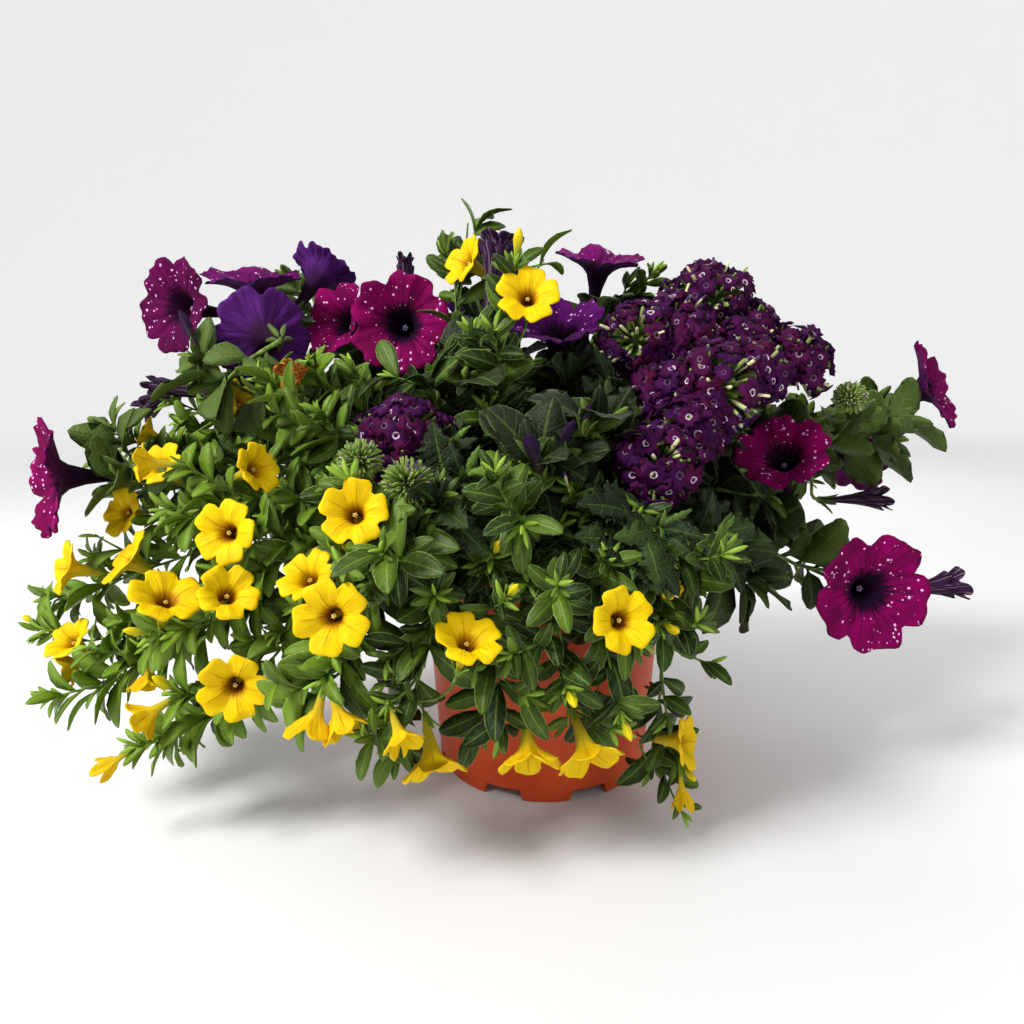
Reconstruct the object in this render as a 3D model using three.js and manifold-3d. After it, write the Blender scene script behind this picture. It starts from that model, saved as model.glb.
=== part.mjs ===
// A mixed pot: verbena, petunia and calibrachoa in a plastic nursery pot.
// Millimetres, +Z up; the origin is on the pot's axis at floor level.

import * as THREE from 'three';
import { ConvexHull } from 'three/addons/math/ConvexHull.js';
import { mergeVertices } from 'three/addons/utils/BufferGeometryUtils.js';
import Module from 'manifold-3d';

const wasm = await Module();
wasm.setup();
const { Manifold, Mesh: SolidMesh } = wasm;

// Driving dimensions (mm)
const pot = {
  height: 125,
  baseRadius: 60,
  topRadius: 69,
  rimRadius: 71,
  rimHeight: 13,
  wall: 2,
  skirtHeight: 6.5,
  floorThickness: 2,
  notches: 8,
  notchWidth: 22,
  drainHoles: 6,
  drainHoleRadius: 5,
  drainRingRadius: 36,
  sides: 24,
};
const soilTop = 113;
const soilCrown = 3;
const seatGap = 0.3;
const floorClearance = 2.5;

// The eye that sees the plant: its place (mm), its pitch below level, and its focal length and
// picture centre in pixels of the 1024-pixel square photograph
const eye = { x: -18, y: -413, z: 221, pitch: THREE.MathUtils.degToRad(10.6) };
const focalPixels = 740;
const centrePixel = 512;

// The point behind a pixel of the photograph, at a depth behind the pot's axis (mm)
function seen(column, row, depth) {
  const across = (column - centrePixel) / focalPixels;
  const rise = (centrePixel - row) / focalPixels;
  const forward = Math.cos(eye.pitch) + rise * Math.sin(eye.pitch);
  const upward = rise * Math.cos(eye.pitch) - Math.sin(eye.pitch);
  const reach = (depth - eye.y) / forward;
  return new THREE.Vector3(eye.x + reach * across, depth, eye.z + reach * upward);
}

// A point that the photograph doesn't show
function at(x, y, z) {
  return new THREE.Vector3(x, y, z);
}

// The direction of an azimuth (0 towards the eye, 90 to the right) and an elevation (degrees)
function facing([azimuth, elevation]) {
  const turn = THREE.MathUtils.degToRad(azimuth);
  const lift = THREE.MathUtils.degToRad(elevation);
  const level = Math.cos(lift);
  return new THREE.Vector3(Math.sin(turn) * level, -Math.cos(turn) * level, Math.sin(lift));
}

// A repeatable number from 0 to 1 for a list of whole numbers
function draw(...labels) {
  let hash = 2166136261;
  for (const label of labels) {
    hash = Math.imul(hash ^ label, 16777619);
    hash ^= hash >>> 15;
  }
  hash = Math.imul(hash ^ (hash >>> 13), 1540483477);
  hash ^= hash >>> 15;
  return (hash >>> 0) / 4294967296;
}

// Kinds of leaf: length, width and depth of the keel (mm), how far the edges fold up, how the
// blade rises and droops, and its outline as [part of the length, part of the half width] pairs
const leafKinds = {
  calibrachoa: {
    length: 26, width: 10.5, keel: 1.2, fold: 0.2, rise: 0.3, droop: 0.45,
    outline: [[0.4, 0.76], [0.76, 1]],
  },
  petunia: {
    length: 42, width: 27, keel: 1.3, fold: 0.2, rise: 0.3, droop: 0.5,
    outline: [[0.16, 0.13], [0.48, 1], [0.78, 0.76]],
  },
  verbena: {
    length: 34, width: 22, keel: 1.2, fold: 0.2, rise: 0.3, droop: 0.45,
    outline: [[0.14, 0.14], [0.42, 1], [0.52, 0.62], [0.7, 0.84], [0.79, 0.5]],
  },
};

// Kinds of bloom: its length from calyx to limb (mm), the tube as [part of the length, radius]
// pairs, the limb as [part of the length, part of the half width] pairs, and its petals
const bloomKinds = {
  calibrachoa: {
    length: 23, tube: [[0.7, 3.8]], limb: [[0.96, 1]], throatDepth: 13, petal: 0.8,
    notch: 0.2, ruffle: 1.2, stalkRadius: 0.9, calyxRadius: 2,
  },
  petunia: {
    length: 42, tube: [[0.3, 3], [0.74, 6.8]], limb: [[0.94, 0.58], [1, 1]], throatDepth: 20,
    petal: 0.9, notch: 0.14, ruffle: 2.6, stalkRadius: 1.4, calyxRadius: 3.2,
  },
  wilted: {
    length: 34, tube: [[0.5, 2.8]], limb: [[1, 1]], throatDepth: 12, petal: 0.9,
    notch: 0.3, ruffle: 3, stalkRadius: 1.3, calyxRadius: 2.6,
  },
};

// Crowns, which the stems of a plant grow from: sides, the foot's depth under the soil's top, the
// height of the first row of sockets over it, the height of a row, and the radius (mm)
const crown = { sides: 6, foot: 10, neck: 7.5, row: 4.5, radius: 3.6, petuniaRadius: 4.4 };

// Stems: sides, half the length of a leaf node, the distance to the first ring and from node to
// node (mm), the nodes of a head's stem as parts of it, how far stems go out of their socket and
// up before they turn to their way (mm), and how far a stalk swings out, as a part of its length
const stemSides = 3;
const nodeHalf = 1.7;
const stemStart = 8;
const nodeSpacing = { calibrachoa: 31, petunia: 30, verbena: 30 };
const headNodes = [0.42, 0.7];
const crownStarts = [[6, 14], [10, 9], [4, 20], [8, 24], [12, 5], [6, 8]];
const sideStart = [7, 4];
const stalkPulls = [0.4, 0.25, 0.6];

// Leaves: how many at a node, and the ways that are tried for one, as the angle to the stem
// (degrees) and the twist round it (radians)
const leavesAtNode = { calibrachoa: 3, petunia: 2, verbena: 2 };
const leafOpens = [62, 48, 75, 55, 85, 68];
const tipLeafOpens = [40, 55, 30, 70, 48, 62];
const leafTwists = [0, 0.3, -0.3, 0.5, -0.5, 0.15];
const moundHeart = at(0, 0, soilTop);

// Florets of a verbena head: radius, height over the core and dish (mm), the notch between petals
// as a part of the radius, how far down the core they go, and the sizes that are tried
const floret = { radius: 6.8, height: 9, notch: 0.6, lowest: -0.3, dish: 0.8 };
const floretShrinks = [1, 0.88, 0.76, 0.64];

// The space test: the cells that spots are kept in, the distance that parts keep, and the
// distance from a bloom's seat within which its own stalk is let through (mm)
const cellSize = 3;
const room = { seat: 6, clearance: 2.9 };
const spotSpacing = 2.4;

// Each crown of stems: where it stands in the soil, its kind and the way each of its stems goes
const plants = [
  {
    name: 'calibrachoa_left', kind: 'calibrachoa', tiers: 2, crown: [-46, 2], stemRadius: 1.3,
    stems: [
      [seen(350, 535, -20), seen(200, 596, -38), seen(110, 640, -50), seen(52, 630, -52)],
      [seen(340, 505, -10), seen(220, 545, -26), seen(128, 576, -30), seen(78, 600, -32)],
      [seen(350, 480, 8), seen(240, 462, 8), seen(180, 470, 2), seen(128, 498, -6)],
      [seen(350, 450, 18), seen(285, 425, 22), seen(240, 422, 26), seen(196, 436, 22)],
      [seen(310, 575, -40), seen(200, 640, -58), seen(134, 668, -66), seen(98, 690, -66)],
    ],
  },
  {
    name: 'calibrachoa_front_left', kind: 'calibrachoa', tiers: 2, crown: [-34, -32], stemRadius: 1.3,
    stems: [
      [seen(350, 570, -74), seen(290, 640, -86), seen(226, 706, -88), seen(174, 738, -90)],
      [seen(360, 535, -70), seen(280, 560, -84), seen(212, 620, -92), seen(170, 636, -90)],
      [seen(370, 510, -62), seen(290, 500, -70), seen(226, 504, -72), seen(188, 520, -78)],
      [seen(385, 570, -90), seen(350, 660, -112), seen(310, 700, -118)],
      [seen(385, 470, -50), seen(330, 430, -52), seen(292, 402, -48), seen(276, 385, -46)],
      [seen(395, 550, -88), seen(372, 584, -110), seen(345, 560, -108)],
    ],
  },
  {
    name: 'calibrachoa_front', kind: 'calibrachoa', tiers: 2, crown: [-4, -48], stemRadius: 1.3,
    stems: [
      [seen(445, 550, -88), seen(430, 640, -116), seen(412, 700, -116), seen(398, 750, -106)],
      [seen(480, 550, -90), seen(482, 630, -110), seen(500, 690, -108), seen(480, 726, -102)],
      [seen(535, 545, -88), seen(560, 620, -108), seen(566, 680, -104), seen(584, 716, -98)],
      [seen(425, 530, -84), seen(386, 520, -108)],
      [seen(505, 520, -80), seen(516, 510, -104), seen(522, 524, -116)],
      [seen(420, 540, -100), seen(402, 560, -124), seen(386, 552, -132)],
    ],
  },
  {
    name: 'calibrachoa_right', kind: 'calibrachoa', tiers: 1, crown: [34, -38], stemRadius: 1.3,
    stems: [
      [seen(612, 535, -76), seen(658, 610, -90), seen(660, 690, -78), seen(650, 764, -70)],
      [seen(580, 535, -84), seen(596, 610, -98), seen(608, 660, -96), seen(596, 694, -94)],
      [seen(622, 520, -68), seen(665, 545, -84), seen(692, 584, -86)],
    ],
  },
  {
    name: 'calibrachoa_top', kind: 'calibrachoa', tiers: 1, crown: [-18, -14], stemRadius: 1.3,
    stems: [
      [seen(470, 440, -24), seen(458, 350, -14), seen(462, 280, -10), seen(476, 228, -8)],
      [seen(495, 430, -34), seen(500, 360, -48), seen(516, 305, -48), seen(542, 262, -40)],
      [seen(420, 450, -34), seen(360, 420, -40), seen(330, 385, -36)],
      [seen(450, 430, -34), seen(425, 385, -44), seen(396, 378, -46)],
    ],
  },
  {
    name: 'calibrachoa_back', kind: 'calibrachoa', tiers: 1, crown: [-30, 40], stemRadius: 1.3,
    stems: [
      [at(-62, 72, 154), at(-120, 104, 150), at(-165, 116, 112)],
      [at(-14, 84, 158), at(-6, 120, 148), at(-8, 132, 108)],
      [at(-60, 56, 164), at(-130, 70, 178), at(-196, 74, 150)],
    ],
  },
  {
    name: 'petunia_left', kind: 'petunia', tiers: 2, crown: [-24, 16], stemRadius: 1.9,
    stems: [
      [seen(430, 440, 36), seen(340, 405, 36), seen(270, 400, 10), seen(226, 380, -22)],
      [seen(440, 420, 46), seen(380, 360, 58), seen(330, 325, 60), seen(296, 308, 56)],
      [seen(420, 465, 32), seen(300, 452, 40), seen(190, 482, -4), seen(130, 480, -30)],
      [seen(425, 430, 40), seen(310, 412, 50), seen(252, 402, 48)],
      [seen(460, 420, 24), seen(436, 380, 44), seen(412, 352, 64)],
    ],
  },
  {
    name: 'petunia_top', kind: 'petunia', tiers: 2, crown: [4, 14], stemRadius: 1.9,
    stems: [
      [seen(508, 430, 24), seen(498, 380, 28), seen(486, 342, 24)],
      [seen(560, 430, 34), seen(584, 370, 46), seen(602, 330, 52)],
      [seen(545, 440, 4), seen(564, 410, -8), seen(560, 385, -8)],
      [seen(530, 480, -24), seen(544, 478, -66), seen(534, 468, -84)],
      [seen(500, 450, -6), seen(478, 410, -30), seen(468, 385, -44)],
      [seen(570, 460, -20), seen(600, 440, -48), seen(590, 430, -66)],
    ],
  },
  {
    name: 'petunia_right', kind: 'petunia', tiers: 1, crown: [48, 4], stemRadius: 1.9,
    stems: [
      [seen(690, 480, 28), seen(770, 466, 40), seen(840, 446, 48), seen(890, 424, 54)],
      [seen(680, 510, 4), seen(750, 540, -10), seen(800, 566, -16), seen(836, 572, -8)],
      [seen(670, 490, 0), seen(726, 490, -16), seen(762, 496, -26)],
      [seen(670, 520, -30), seen(710, 560, -50), seen(746, 580, -56)],
    ],
  },
  {
    name: 'petunia_back', kind: 'petunia', tiers: 1, crown: [10, 48], stemRadius: 1.9,
    stems: [
      [at(40, 84, 168), at(84, 106, 186), at(116, 110, 178)],
      [at(-4, 78, 188), at(-24, 96, 222), at(-30, 100, 236)],
      [at(70, 76, 164), at(150, 84, 172), at(190, 84, 160)],
      [at(26, 86, 154), at(44, 116, 140), at(52, 126, 118)],
    ],
  },
  {
    name: 'verbena_right', kind: 'verbena', tiers: 3, crown: [26, -14], stemRadius: 1.2,
    stems: [
      [seen(640, 520, -60), seen(690, 550, -70), seen(718, 546, -66)],
      [seen(606, 500, -60), seen(636, 520, -98), seen(630, 548, -108)],
    ],
  },
  {
    name: 'verbena_left', kind: 'verbena', tiers: 2, crown: [-6, -26], stemRadius: 1.2,
    stems: [
      [seen(455, 500, -60), seen(450, 496, -96), seen(440, 510, -112)],
    ],
  },
  {
    name: 'verbena_back', kind: 'verbena', tiers: 1, crown: [38, 32], stemRadius: 1.2,
    stems: [
      [at(64, 60, 164), at(110, 70, 170), at(136, 66, 150)],
    ],
  },
];

// Petunia blooms: the middle of the limb, the way it faces, its width (mm) and its plant
const petuniaBlooms = [
  { middle: seen(166, 307, 24), faces: [-58, 4], width: 55, plant: 'petunia_left' },
  { middle: seen(252, 276, 30), faces: [10, 76], width: 56, plant: 'petunia_left' },
  { middle: seen(325, 268, 54), faces: [150, 46], width: 40, plant: 'petunia_left' },
  { middle: seen(262, 336, 2), faces: [-150, 4], width: 54, plant: 'petunia_left' },
  { middle: seen(400, 322, -4), faces: [-4, 10], width: 56, plant: 'petunia_left' },
  { middle: seen(335, 318, 24), faces: [-36, 20], width: 46, plant: 'petunia_left' },
  { middle: seen(44, 476, -36), faces: [-64, 4], width: 62, plant: 'petunia_left' },
  { middle: seen(493, 246, 14), faces: [30, 74], width: 30, plant: 'petunia_top' },
  { middle: seen(600, 256, 50), faces: [20, 74], width: 54, plant: 'petunia_top' },
  { middle: seen(558, 322, -10), faces: [-10, 62], width: 50, plant: 'petunia_top' },
  { middle: seen(782, 450, -24), faces: [-30, 44], width: 50, plant: 'petunia_right' },
  { middle: seen(938, 384, 55), faces: [52, 26], width: 60, plant: 'petunia_right' },
  { middle: seen(874, 594, -46), faces: [6, 4], width: 63, plant: 'petunia_right' },
  { middle: at(136, 118, 190), faces: [160, 34], width: 56, plant: 'petunia_back' },
  { middle: at(-36, 104, 262), faces: [190, 60], width: 54, plant: 'petunia_back' },
  { middle: at(216, 96, 166), faces: [116, 20], width: 56, plant: 'petunia_back' },
];

// Calibrachoa blooms, in the same terms
const yellowBlooms = [
  { middle: seen(247, 400, 8), faces: [80, 30], width: 30, plant: 'calibrachoa_left' },
  { middle: seen(118, 511, -30), faces: [-30, 20], width: 28, plant: 'calibrachoa_left' },
  { middle: seen(60, 567, -56), faces: [-50, 20], width: 28, plant: 'calibrachoa_left' },
  { middle: seen(122, 556, -58), faces: [-60, 40], width: 32, plant: 'calibrachoa_left' },
  { middle: seen(65, 637, -60), faces: [-30, 50], width: 26, plant: 'calibrachoa_left' },
  { middle: seen(156, 461, -44), faces: [-20, 40], width: 26, plant: 'calibrachoa_left' },
  { middle: seen(222, 532, -100), faces: [-8, 16], width: 30, plant: 'calibrachoa_front_left' },
  { middle: seen(262, 466, -84), faces: [60, 20], width: 24, plant: 'calibrachoa_front_left' },
  { middle: seen(230, 590, -116), faces: [40, 40], width: 26, plant: 'calibrachoa_front_left' },
  { middle: seen(168, 592, -108), faces: [50, 60], width: 32, plant: 'calibrachoa_front_left' },
  { middle: seen(232, 690, -118), faces: [8, 4], width: 31, plant: 'calibrachoa_front_left' },
  { middle: seen(330, 618, -140), faces: [0, 12], width: 31, plant: 'calibrachoa_front_left' },
  { middle: seen(304, 572, -120), faces: [-20, 50], width: 26, plant: 'calibrachoa_front_left' },
  { middle: seen(353, 511, -128), faces: [4, 26], width: 28, plant: 'calibrachoa_front' },
  { middle: seen(470, 634, -140), faces: [30, 60], width: 28, plant: 'calibrachoa_front' },
  { middle: seen(434, 770, -124), faces: [20, -52], width: 28, plant: 'calibrachoa_front' },
  { middle: seen(530, 764, -122), faces: [10, -50], width: 28, plant: 'calibrachoa_front' },
  { middle: seen(590, 760, -122), faces: [24, -44], width: 30, plant: 'calibrachoa_front' },
  { middle: seen(626, 620, -132), faces: [20, 20], width: 28, plant: 'calibrachoa_right' },
  { middle: seen(692, 742, -92), faces: [60, 10], width: 26, plant: 'calibrachoa_right' },
  { middle: seen(460, 258, -22), faces: [-56, 24], width: 28, plant: 'calibrachoa_top' },
  { middle: seen(528, 292, -66), faces: [0, 26], width: 30, plant: 'calibrachoa_top' },
];

// Wilted trumpets and hidden blooms, which are one piece with their plant
const spentBlooms = [
  { middle: seen(157, 386, 18), faces: [-84, 12], width: 14, plant: 'petunia_left' },
  { middle: seen(146, 408, 40), faces: [-70, -34], width: 18, plant: 'petunia_left' },
  { middle: seen(880, 498, 40), faces: [80, 4], width: 20, plant: 'petunia_right' },
  { middle: seen(952, 584, -14), faces: [84, 10], width: 24, plant: 'petunia_right' },
  { middle: seen(405, 262, 74), faces: [10, 76], width: 14, plant: 'petunia_left' },
];

// Verbena bunches: heads that touch, as a dome with half sizes across, up and out (mm)
const verbenaBunches = [
  {
    name: 'verbena_heads_1', plant: 'verbena_right', middle: seen(636, 340, -20),
    faces: [-14, 50], size: [23, 27, 22], corePoints: 11, stems: 1,
  },
  {
    name: 'verbena_heads_2', plant: 'verbena_right', middle: seen(708, 300, 12),
    faces: [8, 64], size: [35, 23, 22], corePoints: 13, stems: 2,
  },
  {
    name: 'verbena_heads_3', plant: 'verbena_right', middle: seen(714, 388, -52),
    faces: [4, 34], size: [27, 28, 23], corePoints: 13, stems: 1,
  },
  {
    name: 'verbena_heads_4', plant: 'verbena_right', middle: seen(794, 362, -4),
    faces: [50, 44], size: [20, 28, 20], corePoints: 11, stems: 1,
  },
  {
    name: 'verbena_heads_5', plant: 'verbena_right', middle: seen(660, 464, -76),
    faces: [4, 18], size: [28, 21, 19], corePoints: 12, stems: 1,
  },
  {
    name: 'verbena_heads_6', plant: 'verbena_left', middle: seen(404, 436, -72),
    faces: [0, 44], size: [31, 22, 19], corePoints: 12, stems: 1,
  },
  {
    name: 'verbena_heads_7', plant: 'verbena_back', middle: at(84, 78, 232),
    faces: [140, 60], size: [32, 25, 22], corePoints: 12, stems: 1,
  },
];

// Green calyx balls of heads in bud, which are one piece with their plant
const calyxBalls = [
  { middle: seen(362, 464, -104), faces: [-10, 50], width: 21, plant: 'verbena_left' },
  { middle: seen(408, 487, -110), faces: [0, 50], width: 24, plant: 'verbena_left' },
  { middle: seen(446, 402, -26), faces: [0, 80], width: 18, plant: 'verbena_left' },
  { middle: seen(590, 392, -56), faces: [-10, 60], width: 20, plant: 'verbena_right' },
  { middle: seen(848, 400, 0), faces: [50, 50], width: 20, plant: 'verbena_right' },
];

// A closed surface as it grows: its points, its faces, and its open sockets, which are the
// four-cornered patches of a stem that a leaf, a stalk or a side stem may grow from
class Growth {
  constructor() {
    this.points = [];
    this.faces = [];
    this.sockets = [];
  }

  // Adds the points of a ring, which turn anticlockwise about the way of growth
  ring(points) {
    return points.map((point) => this.points.push(point) - 1);
  }

  // Faces between two rings of any counts. On a tie the larger ring steps first, and of two
  // equal rings the far one where farFirst says so.
  strip(near, far, farFirst = () => true) {
    const [n, m] = [near.length, far.length];
    let [i, j] = [0, 0];
    while (i < n || j < m) {
      const lead = (i + 1) * m - (j + 1) * n;
      const tie = n === m ? farFirst(i) : m > n;
      const farSteps = j < m && (i >= n || lead > 0 || (lead === 0 && tie));
      if (farSteps) {
        this.faces.push([near[i % n], far[(j + 1) % m], far[j]]);
        j++;
      } else {
        this.faces.push([near[i], near[(i + 1) % n], far[j % m]]);
        i++;
      }
    }
  }

  // Rings in a row after a first ring
  strips(first, rings, farFirst) {
    let near = first;
    for (const points of rings) {
      const far = this.ring(points);
      this.strip(near, far, farFirst);
      near = far;
    }
    return near;
  }

  // Turns a ring's list so that it starts where it lies best against another
  aligned(near, far) {
    const cost = (turn) => near.reduce((sum, corner, index) => {
      const match = far[(turn + Math.round((index * far.length) / near.length)) % far.length];
      return sum + this.points[corner].distanceToSquared(this.points[match]);
    }, 0);
    const turns = far.map((unused, turn) => turn);
    const best = turns.reduce((a, b) => (cost(b) < cost(a) ? b : a));
    return [...far.slice(best), ...far.slice(0, best)];
  }

  // Closes the surface behind its first ring, or in front of its last one
  open(point, ring) {
    const [tip] = this.ring([point]);
    ring.forEach((corner, index) => {
      this.faces.push([tip, ring[(index + 1) % ring.length], corner]);
    });
  }

  close(ring, point) {
    const [tip] = this.ring([point]);
    ring.forEach((corner, index) => {
      this.faces.push([tip, corner, ring[(index + 1) % ring.length]]);
    });
  }

  // Leaves the patches between two equal rings open as sockets
  socketRow(near, far, facts) {
    near.forEach((corner, side) => {
      const next = (side + 1) % near.length;
      const corners = [corner, near[next], far[next], far[side]];
      const centre = at(0, 0, 0);
      for (const index of corners) centre.addScaledVector(this.points[index], 1 / 4);
      const [a, b, , d] = corners.map((index) => this.points[index]);
      const out = new THREE.Vector3().crossVectors(b.clone().sub(a), d.clone().sub(a)).normalize();
      this.sockets.push({ ...facts, corners, centre, out, used: false });
    });
  }

  // Takes a socket and gives its corners, turned to lie against a ring of points
  plug(socket, points) {
    socket.used = true;
    const far = this.ring(points);
    this.strip(socket.corners, this.aligned(socket.corners, far));
    return far;
  }

  // The faces that close the sockets that nothing grows from
  patches(from, to) {
    return this.sockets.slice(from, to).filter(({ used }) => !used)
      .flatMap(({ corners: [a, b, c, d] }) => [[a, b, c], [a, c, d]]);
  }

  // Whether the faces since a mark cross each other or those before it
  crossesItself(mark) {
    const boxed = (face) => (
      { face, box: new THREE.Box3().setFromPoints(face.map((corner) => this.points[corner])) });
    const added = [...this.faces.slice(mark.faces), ...this.patches(mark.sockets)].map(boxed);
    const whole = added.reduce((box, one) => box.union(one.box), new THREE.Box3());
    const near = [...this.faces.slice(0, mark.faces), ...this.patches(0, mark.sockets)].map(boxed)
      .filter((one) => one.box.intersectsBox(whole));
    const meet = (one, two) => one.box.intersectsBox(two.box)
      && facesCross(this.points, one.face, two.face);
    return added.some((one, index) => near.some((two) => meet(one, two))
      || added.slice(index + 1).some((two) => meet(one, two)));
  }

  geometry() {
    this.faces.push(...this.patches());
    const geometry = new THREE.BufferGeometry();
    geometry.setAttribute('position',
      new THREE.Float32BufferAttribute(this.points.flatMap((p) => [p.x, p.y, p.z]), 3));
    geometry.setIndex(this.faces.flat());
    return geometry;
  }
}

// Whether the straight line between two points passes through a triangle
function passesThrough(from, to, [a, b, c]) {
  const ray = new THREE.Ray(from, to.clone().sub(from).normalize());
  const hit = ray.intersectTriangle(a, b, c, false, at(0, 0, 0));
  return hit !== null && hit.distanceTo(from) <= from.distanceTo(to);
}

// Whether two faces cross anywhere but in the corner that they share
function facesCross(points, one, two) {
  if (one.filter((corner) => two.includes(corner)).length > 1) return false;
  return [[one, two], [two, one]].some(([a, b]) => a.some((corner, side) => {
    const next = a[(side + 1) % 3];
    return !b.includes(corner) && !b.includes(next)
      && passesThrough(points[corner], points[next], b.map((index) => points[index]));
  }));
}

// Two directions square to a given one: across and up
function squareTo(along, upHint) {
  const hint = upHint ?? (Math.abs(along.z) > 0.9 ? at(0, 1, 0) : at(0, 0, 1));
  const across = new THREE.Vector3().crossVectors(hint, along).normalize();
  const up = new THREE.Vector3().crossVectors(along, across).normalize();
  return { across, up };
}

// A point from a centre and weighted directions
function offset(centre, ...terms) {
  const point = centre.clone();
  for (const [direction, distance] of terms) point.addScaledVector(direction, distance);
  return point;
}

// A regular ring of points about a way
function circle(centre, { across, up }, radius, sides, start = 0) {
  return Array.from({ length: sides }, (unused, side) => {
    const angle = ((side + start) / sides) * 2 * Math.PI;
    return offset(centre, [across, radius * Math.cos(angle)], [up, radius * Math.sin(angle)]);
  });
}

// Rings of three points along a curve at the given parts of it
function curveRings(curve, parts, radiusAt) {
  let { across } = squareTo(curve.getTangent(parts[0]));
  return parts.map((part) => {
    const along = curve.getTangent(part);
    const up = new THREE.Vector3().crossVectors(along, across).normalize();
    across = new THREE.Vector3().crossVectors(up, along).normalize();
    return circle(curve.getPoint(part), { across, up }, radiusAt(part), stemSides);
  });
}


// A stem from a socket along a curve, with leaf nodes at the given parts of it, where its sides
// stay open as sockets; it gives its last ring
function growStem(growth, socket, curve, radius, nodes, endParts, stem) {
  const length = curve.getLength();
  const half = nodeHalf / length;
  const stations = [{ part: Math.min(stemStart / length, nodes[0] / 2) }];
  nodes.forEach((part, node) => {
    const last = endParts.length === 0 && node === nodes.length - 1;
    stations.push({ part: part - half, facts: { curve, part, node, last, stem } });
    stations.push({ part: part + half });
  });
  for (const part of endParts) stations.push({ part });
  const rings = curveRings(curve, stations.map((station) => station.part),
    (part) => radius * (1 - 0.4 * part));
  let near = growth.plug(socket, rings[0]);
  rings.slice(1).forEach((points, index) => {
    const far = growth.ring(points);
    const { facts } = stations[index];
    if (facts) growth.socketRow(near, far, facts);
    else growth.strip(near, far);
    near = far;
  });
  return near;
}

// The parts of a curve where its leaf nodes are, evenly spaced back from its tip
function nodeParts(curve, spacing) {
  const length = curve.getLength();
  const count = Math.max(1, Math.round((length - spacing) / spacing));
  return Array.from({ length: count }, (unused, node) => (
    1 - (1.5 * nodeHalf + (count - 1 - node) * spacing) / length));
}

// The rings of a leaf from its root at the stem's axis: an arched blade with folded edges, which
// is flat above and keeled below
function leafRings(leaf) {
  const kind = leafKinds[leaf.kind];
  const frame = squareTo(leaf.along, leaf.up);
  const spine = (part) => offset(leaf.root, [leaf.along, leaf.length * part],
    [frame.up, leaf.length * leaf.arch * (kind.rise * part - kind.droop * part * part)]);
  const half = (leaf.length * kind.width) / kind.length / 2;
  const rings = kind.outline.map(([part, share]) => {
    const centre = spine(part);
    const raise = kind.fold * half * share;
    const right = offset(centre, [frame.across, half * share], [frame.up, raise]);
    const left = offset(centre, [frame.across, -half * share], [frame.up, raise]);
    return [right, left, offset(centre, [frame.up, -kind.keel])];
  });
  return { rings, tip: spine(1) };
}

function growLeaf(growth, socket, leaf) {
  const { rings, tip } = leafRings(leaf);
  growth.close(growth.strips(growth.plug(socket, rings[0]), rings.slice(1)), tip);
}

// The rings of a five-lobed trumpet: out along the tube and limb, over the rim and back inside
function trumpetRings(bloom, kind, label) {
  const axis = facing(bloom.faces);
  const frame = squareTo(axis);
  const foot = offset(bloom.middle, [axis, -kind.length]);
  const spin = draw(label, 3);
  const spread = (angle, radius) => [[frame.across, radius * Math.cos(angle)],
    [frame.up, radius * Math.sin(angle)]];
  const tubeRing = ([part, radius], shrink) => Array.from({ length: 5 }, (unused, lobe) => {
    const angle = ((lobe + spin) / 5) * 2 * Math.PI;
    return offset(foot, [axis, kind.length * part + shrink], ...spread(angle, radius - shrink));
  });
  const limbRing = ([part, share], reach, lift) => Array.from({ length: 15 }, (unused, index) => {
    const notched = index % 3 === 0;
    const step = Math.floor(index / 3) + [0, 0.3, 0.7][index % 3];
    const angle = ((step + spin) / 5) * 2 * Math.PI;
    const wave = reach * kind.ruffle * (notched ? -0.6 : 2 * draw(label, index) - 0.8);
    const radius = (bloom.width / 2) * share * (1 - (notched ? reach * kind.notch : 0));
    return offset(foot, [axis, kind.length * part + wave + lift], ...spread(angle, radius));
  });
  const tubes = kind.tube.map((step) => tubeRing(step, 0));
  const limbs = kind.limb.map((step, index) => limbRing(step, (index + 1) / kind.limb.length, 0));
  const inner = kind.limb.slice(0, -1).map((step) => limbRing(step, 1 / kind.limb.length,
    kind.petal)).reverse();
  const throat = tubeRing(kind.tube.at(-1), kind.petal);
  const bottom = offset(foot, [axis, kind.length - kind.throatDepth]);
  return { foot, outer: [...tubes, ...limbs], inner: [...inner, throat], bottom };
}

function growTrumpet(growth, near, { outer, inner, bottom }) {
  const rim = growth.strips(near, outer);
  growth.close(growth.strips(rim, inner, () => false), bottom);
}

// A bloom of its own, from its foot
function makeBloom(bloom, kind, label) {
  const growth = new Growth();
  const rings = trumpetRings(bloom, kind, label);
  const first = growth.ring(rings.outer[0]);
  growth.open(rings.foot, first);
  growTrumpet(growth, first, { ...rings, outer: rings.outer.slice(1) });
  return growth.geometry();
}

// The faces of a core: the hull of points spread evenly over an ellipsoid about an axis
function coreFaces(core, count) {
  const axis = facing(core.faces);
  const frame = squareTo(axis);
  const points = Array.from({ length: count }, (unused, index) => {
    const height = 1 - (2 * (index + 0.5)) / count;
    const level = Math.sqrt(1 - height * height);
    const angle = index * Math.PI * (3 - Math.sqrt(5));
    return offset(core.middle, [axis, height * core.size[2]],
      [frame.across, core.size[0] * level * Math.cos(angle)],
      [frame.up, core.size[1] * level * Math.sin(angle)]);
  });
  const hull = new ConvexHull().setFromPoints(points);
  const faces = hull.faces.map((face) => {
    const corners = [face.edge, face.edge.next, face.edge.next.next]
      .map((edge) => points.indexOf(edge.head().point));
    const centre = at(0, 0, 0);
    for (const corner of corners) centre.addScaledVector(points[corner], 1 / 3);
    return { corners, centre, out: face.normal.clone(), rise: face.normal.dot(axis) };
  });
  return { points, faces };
}


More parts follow.
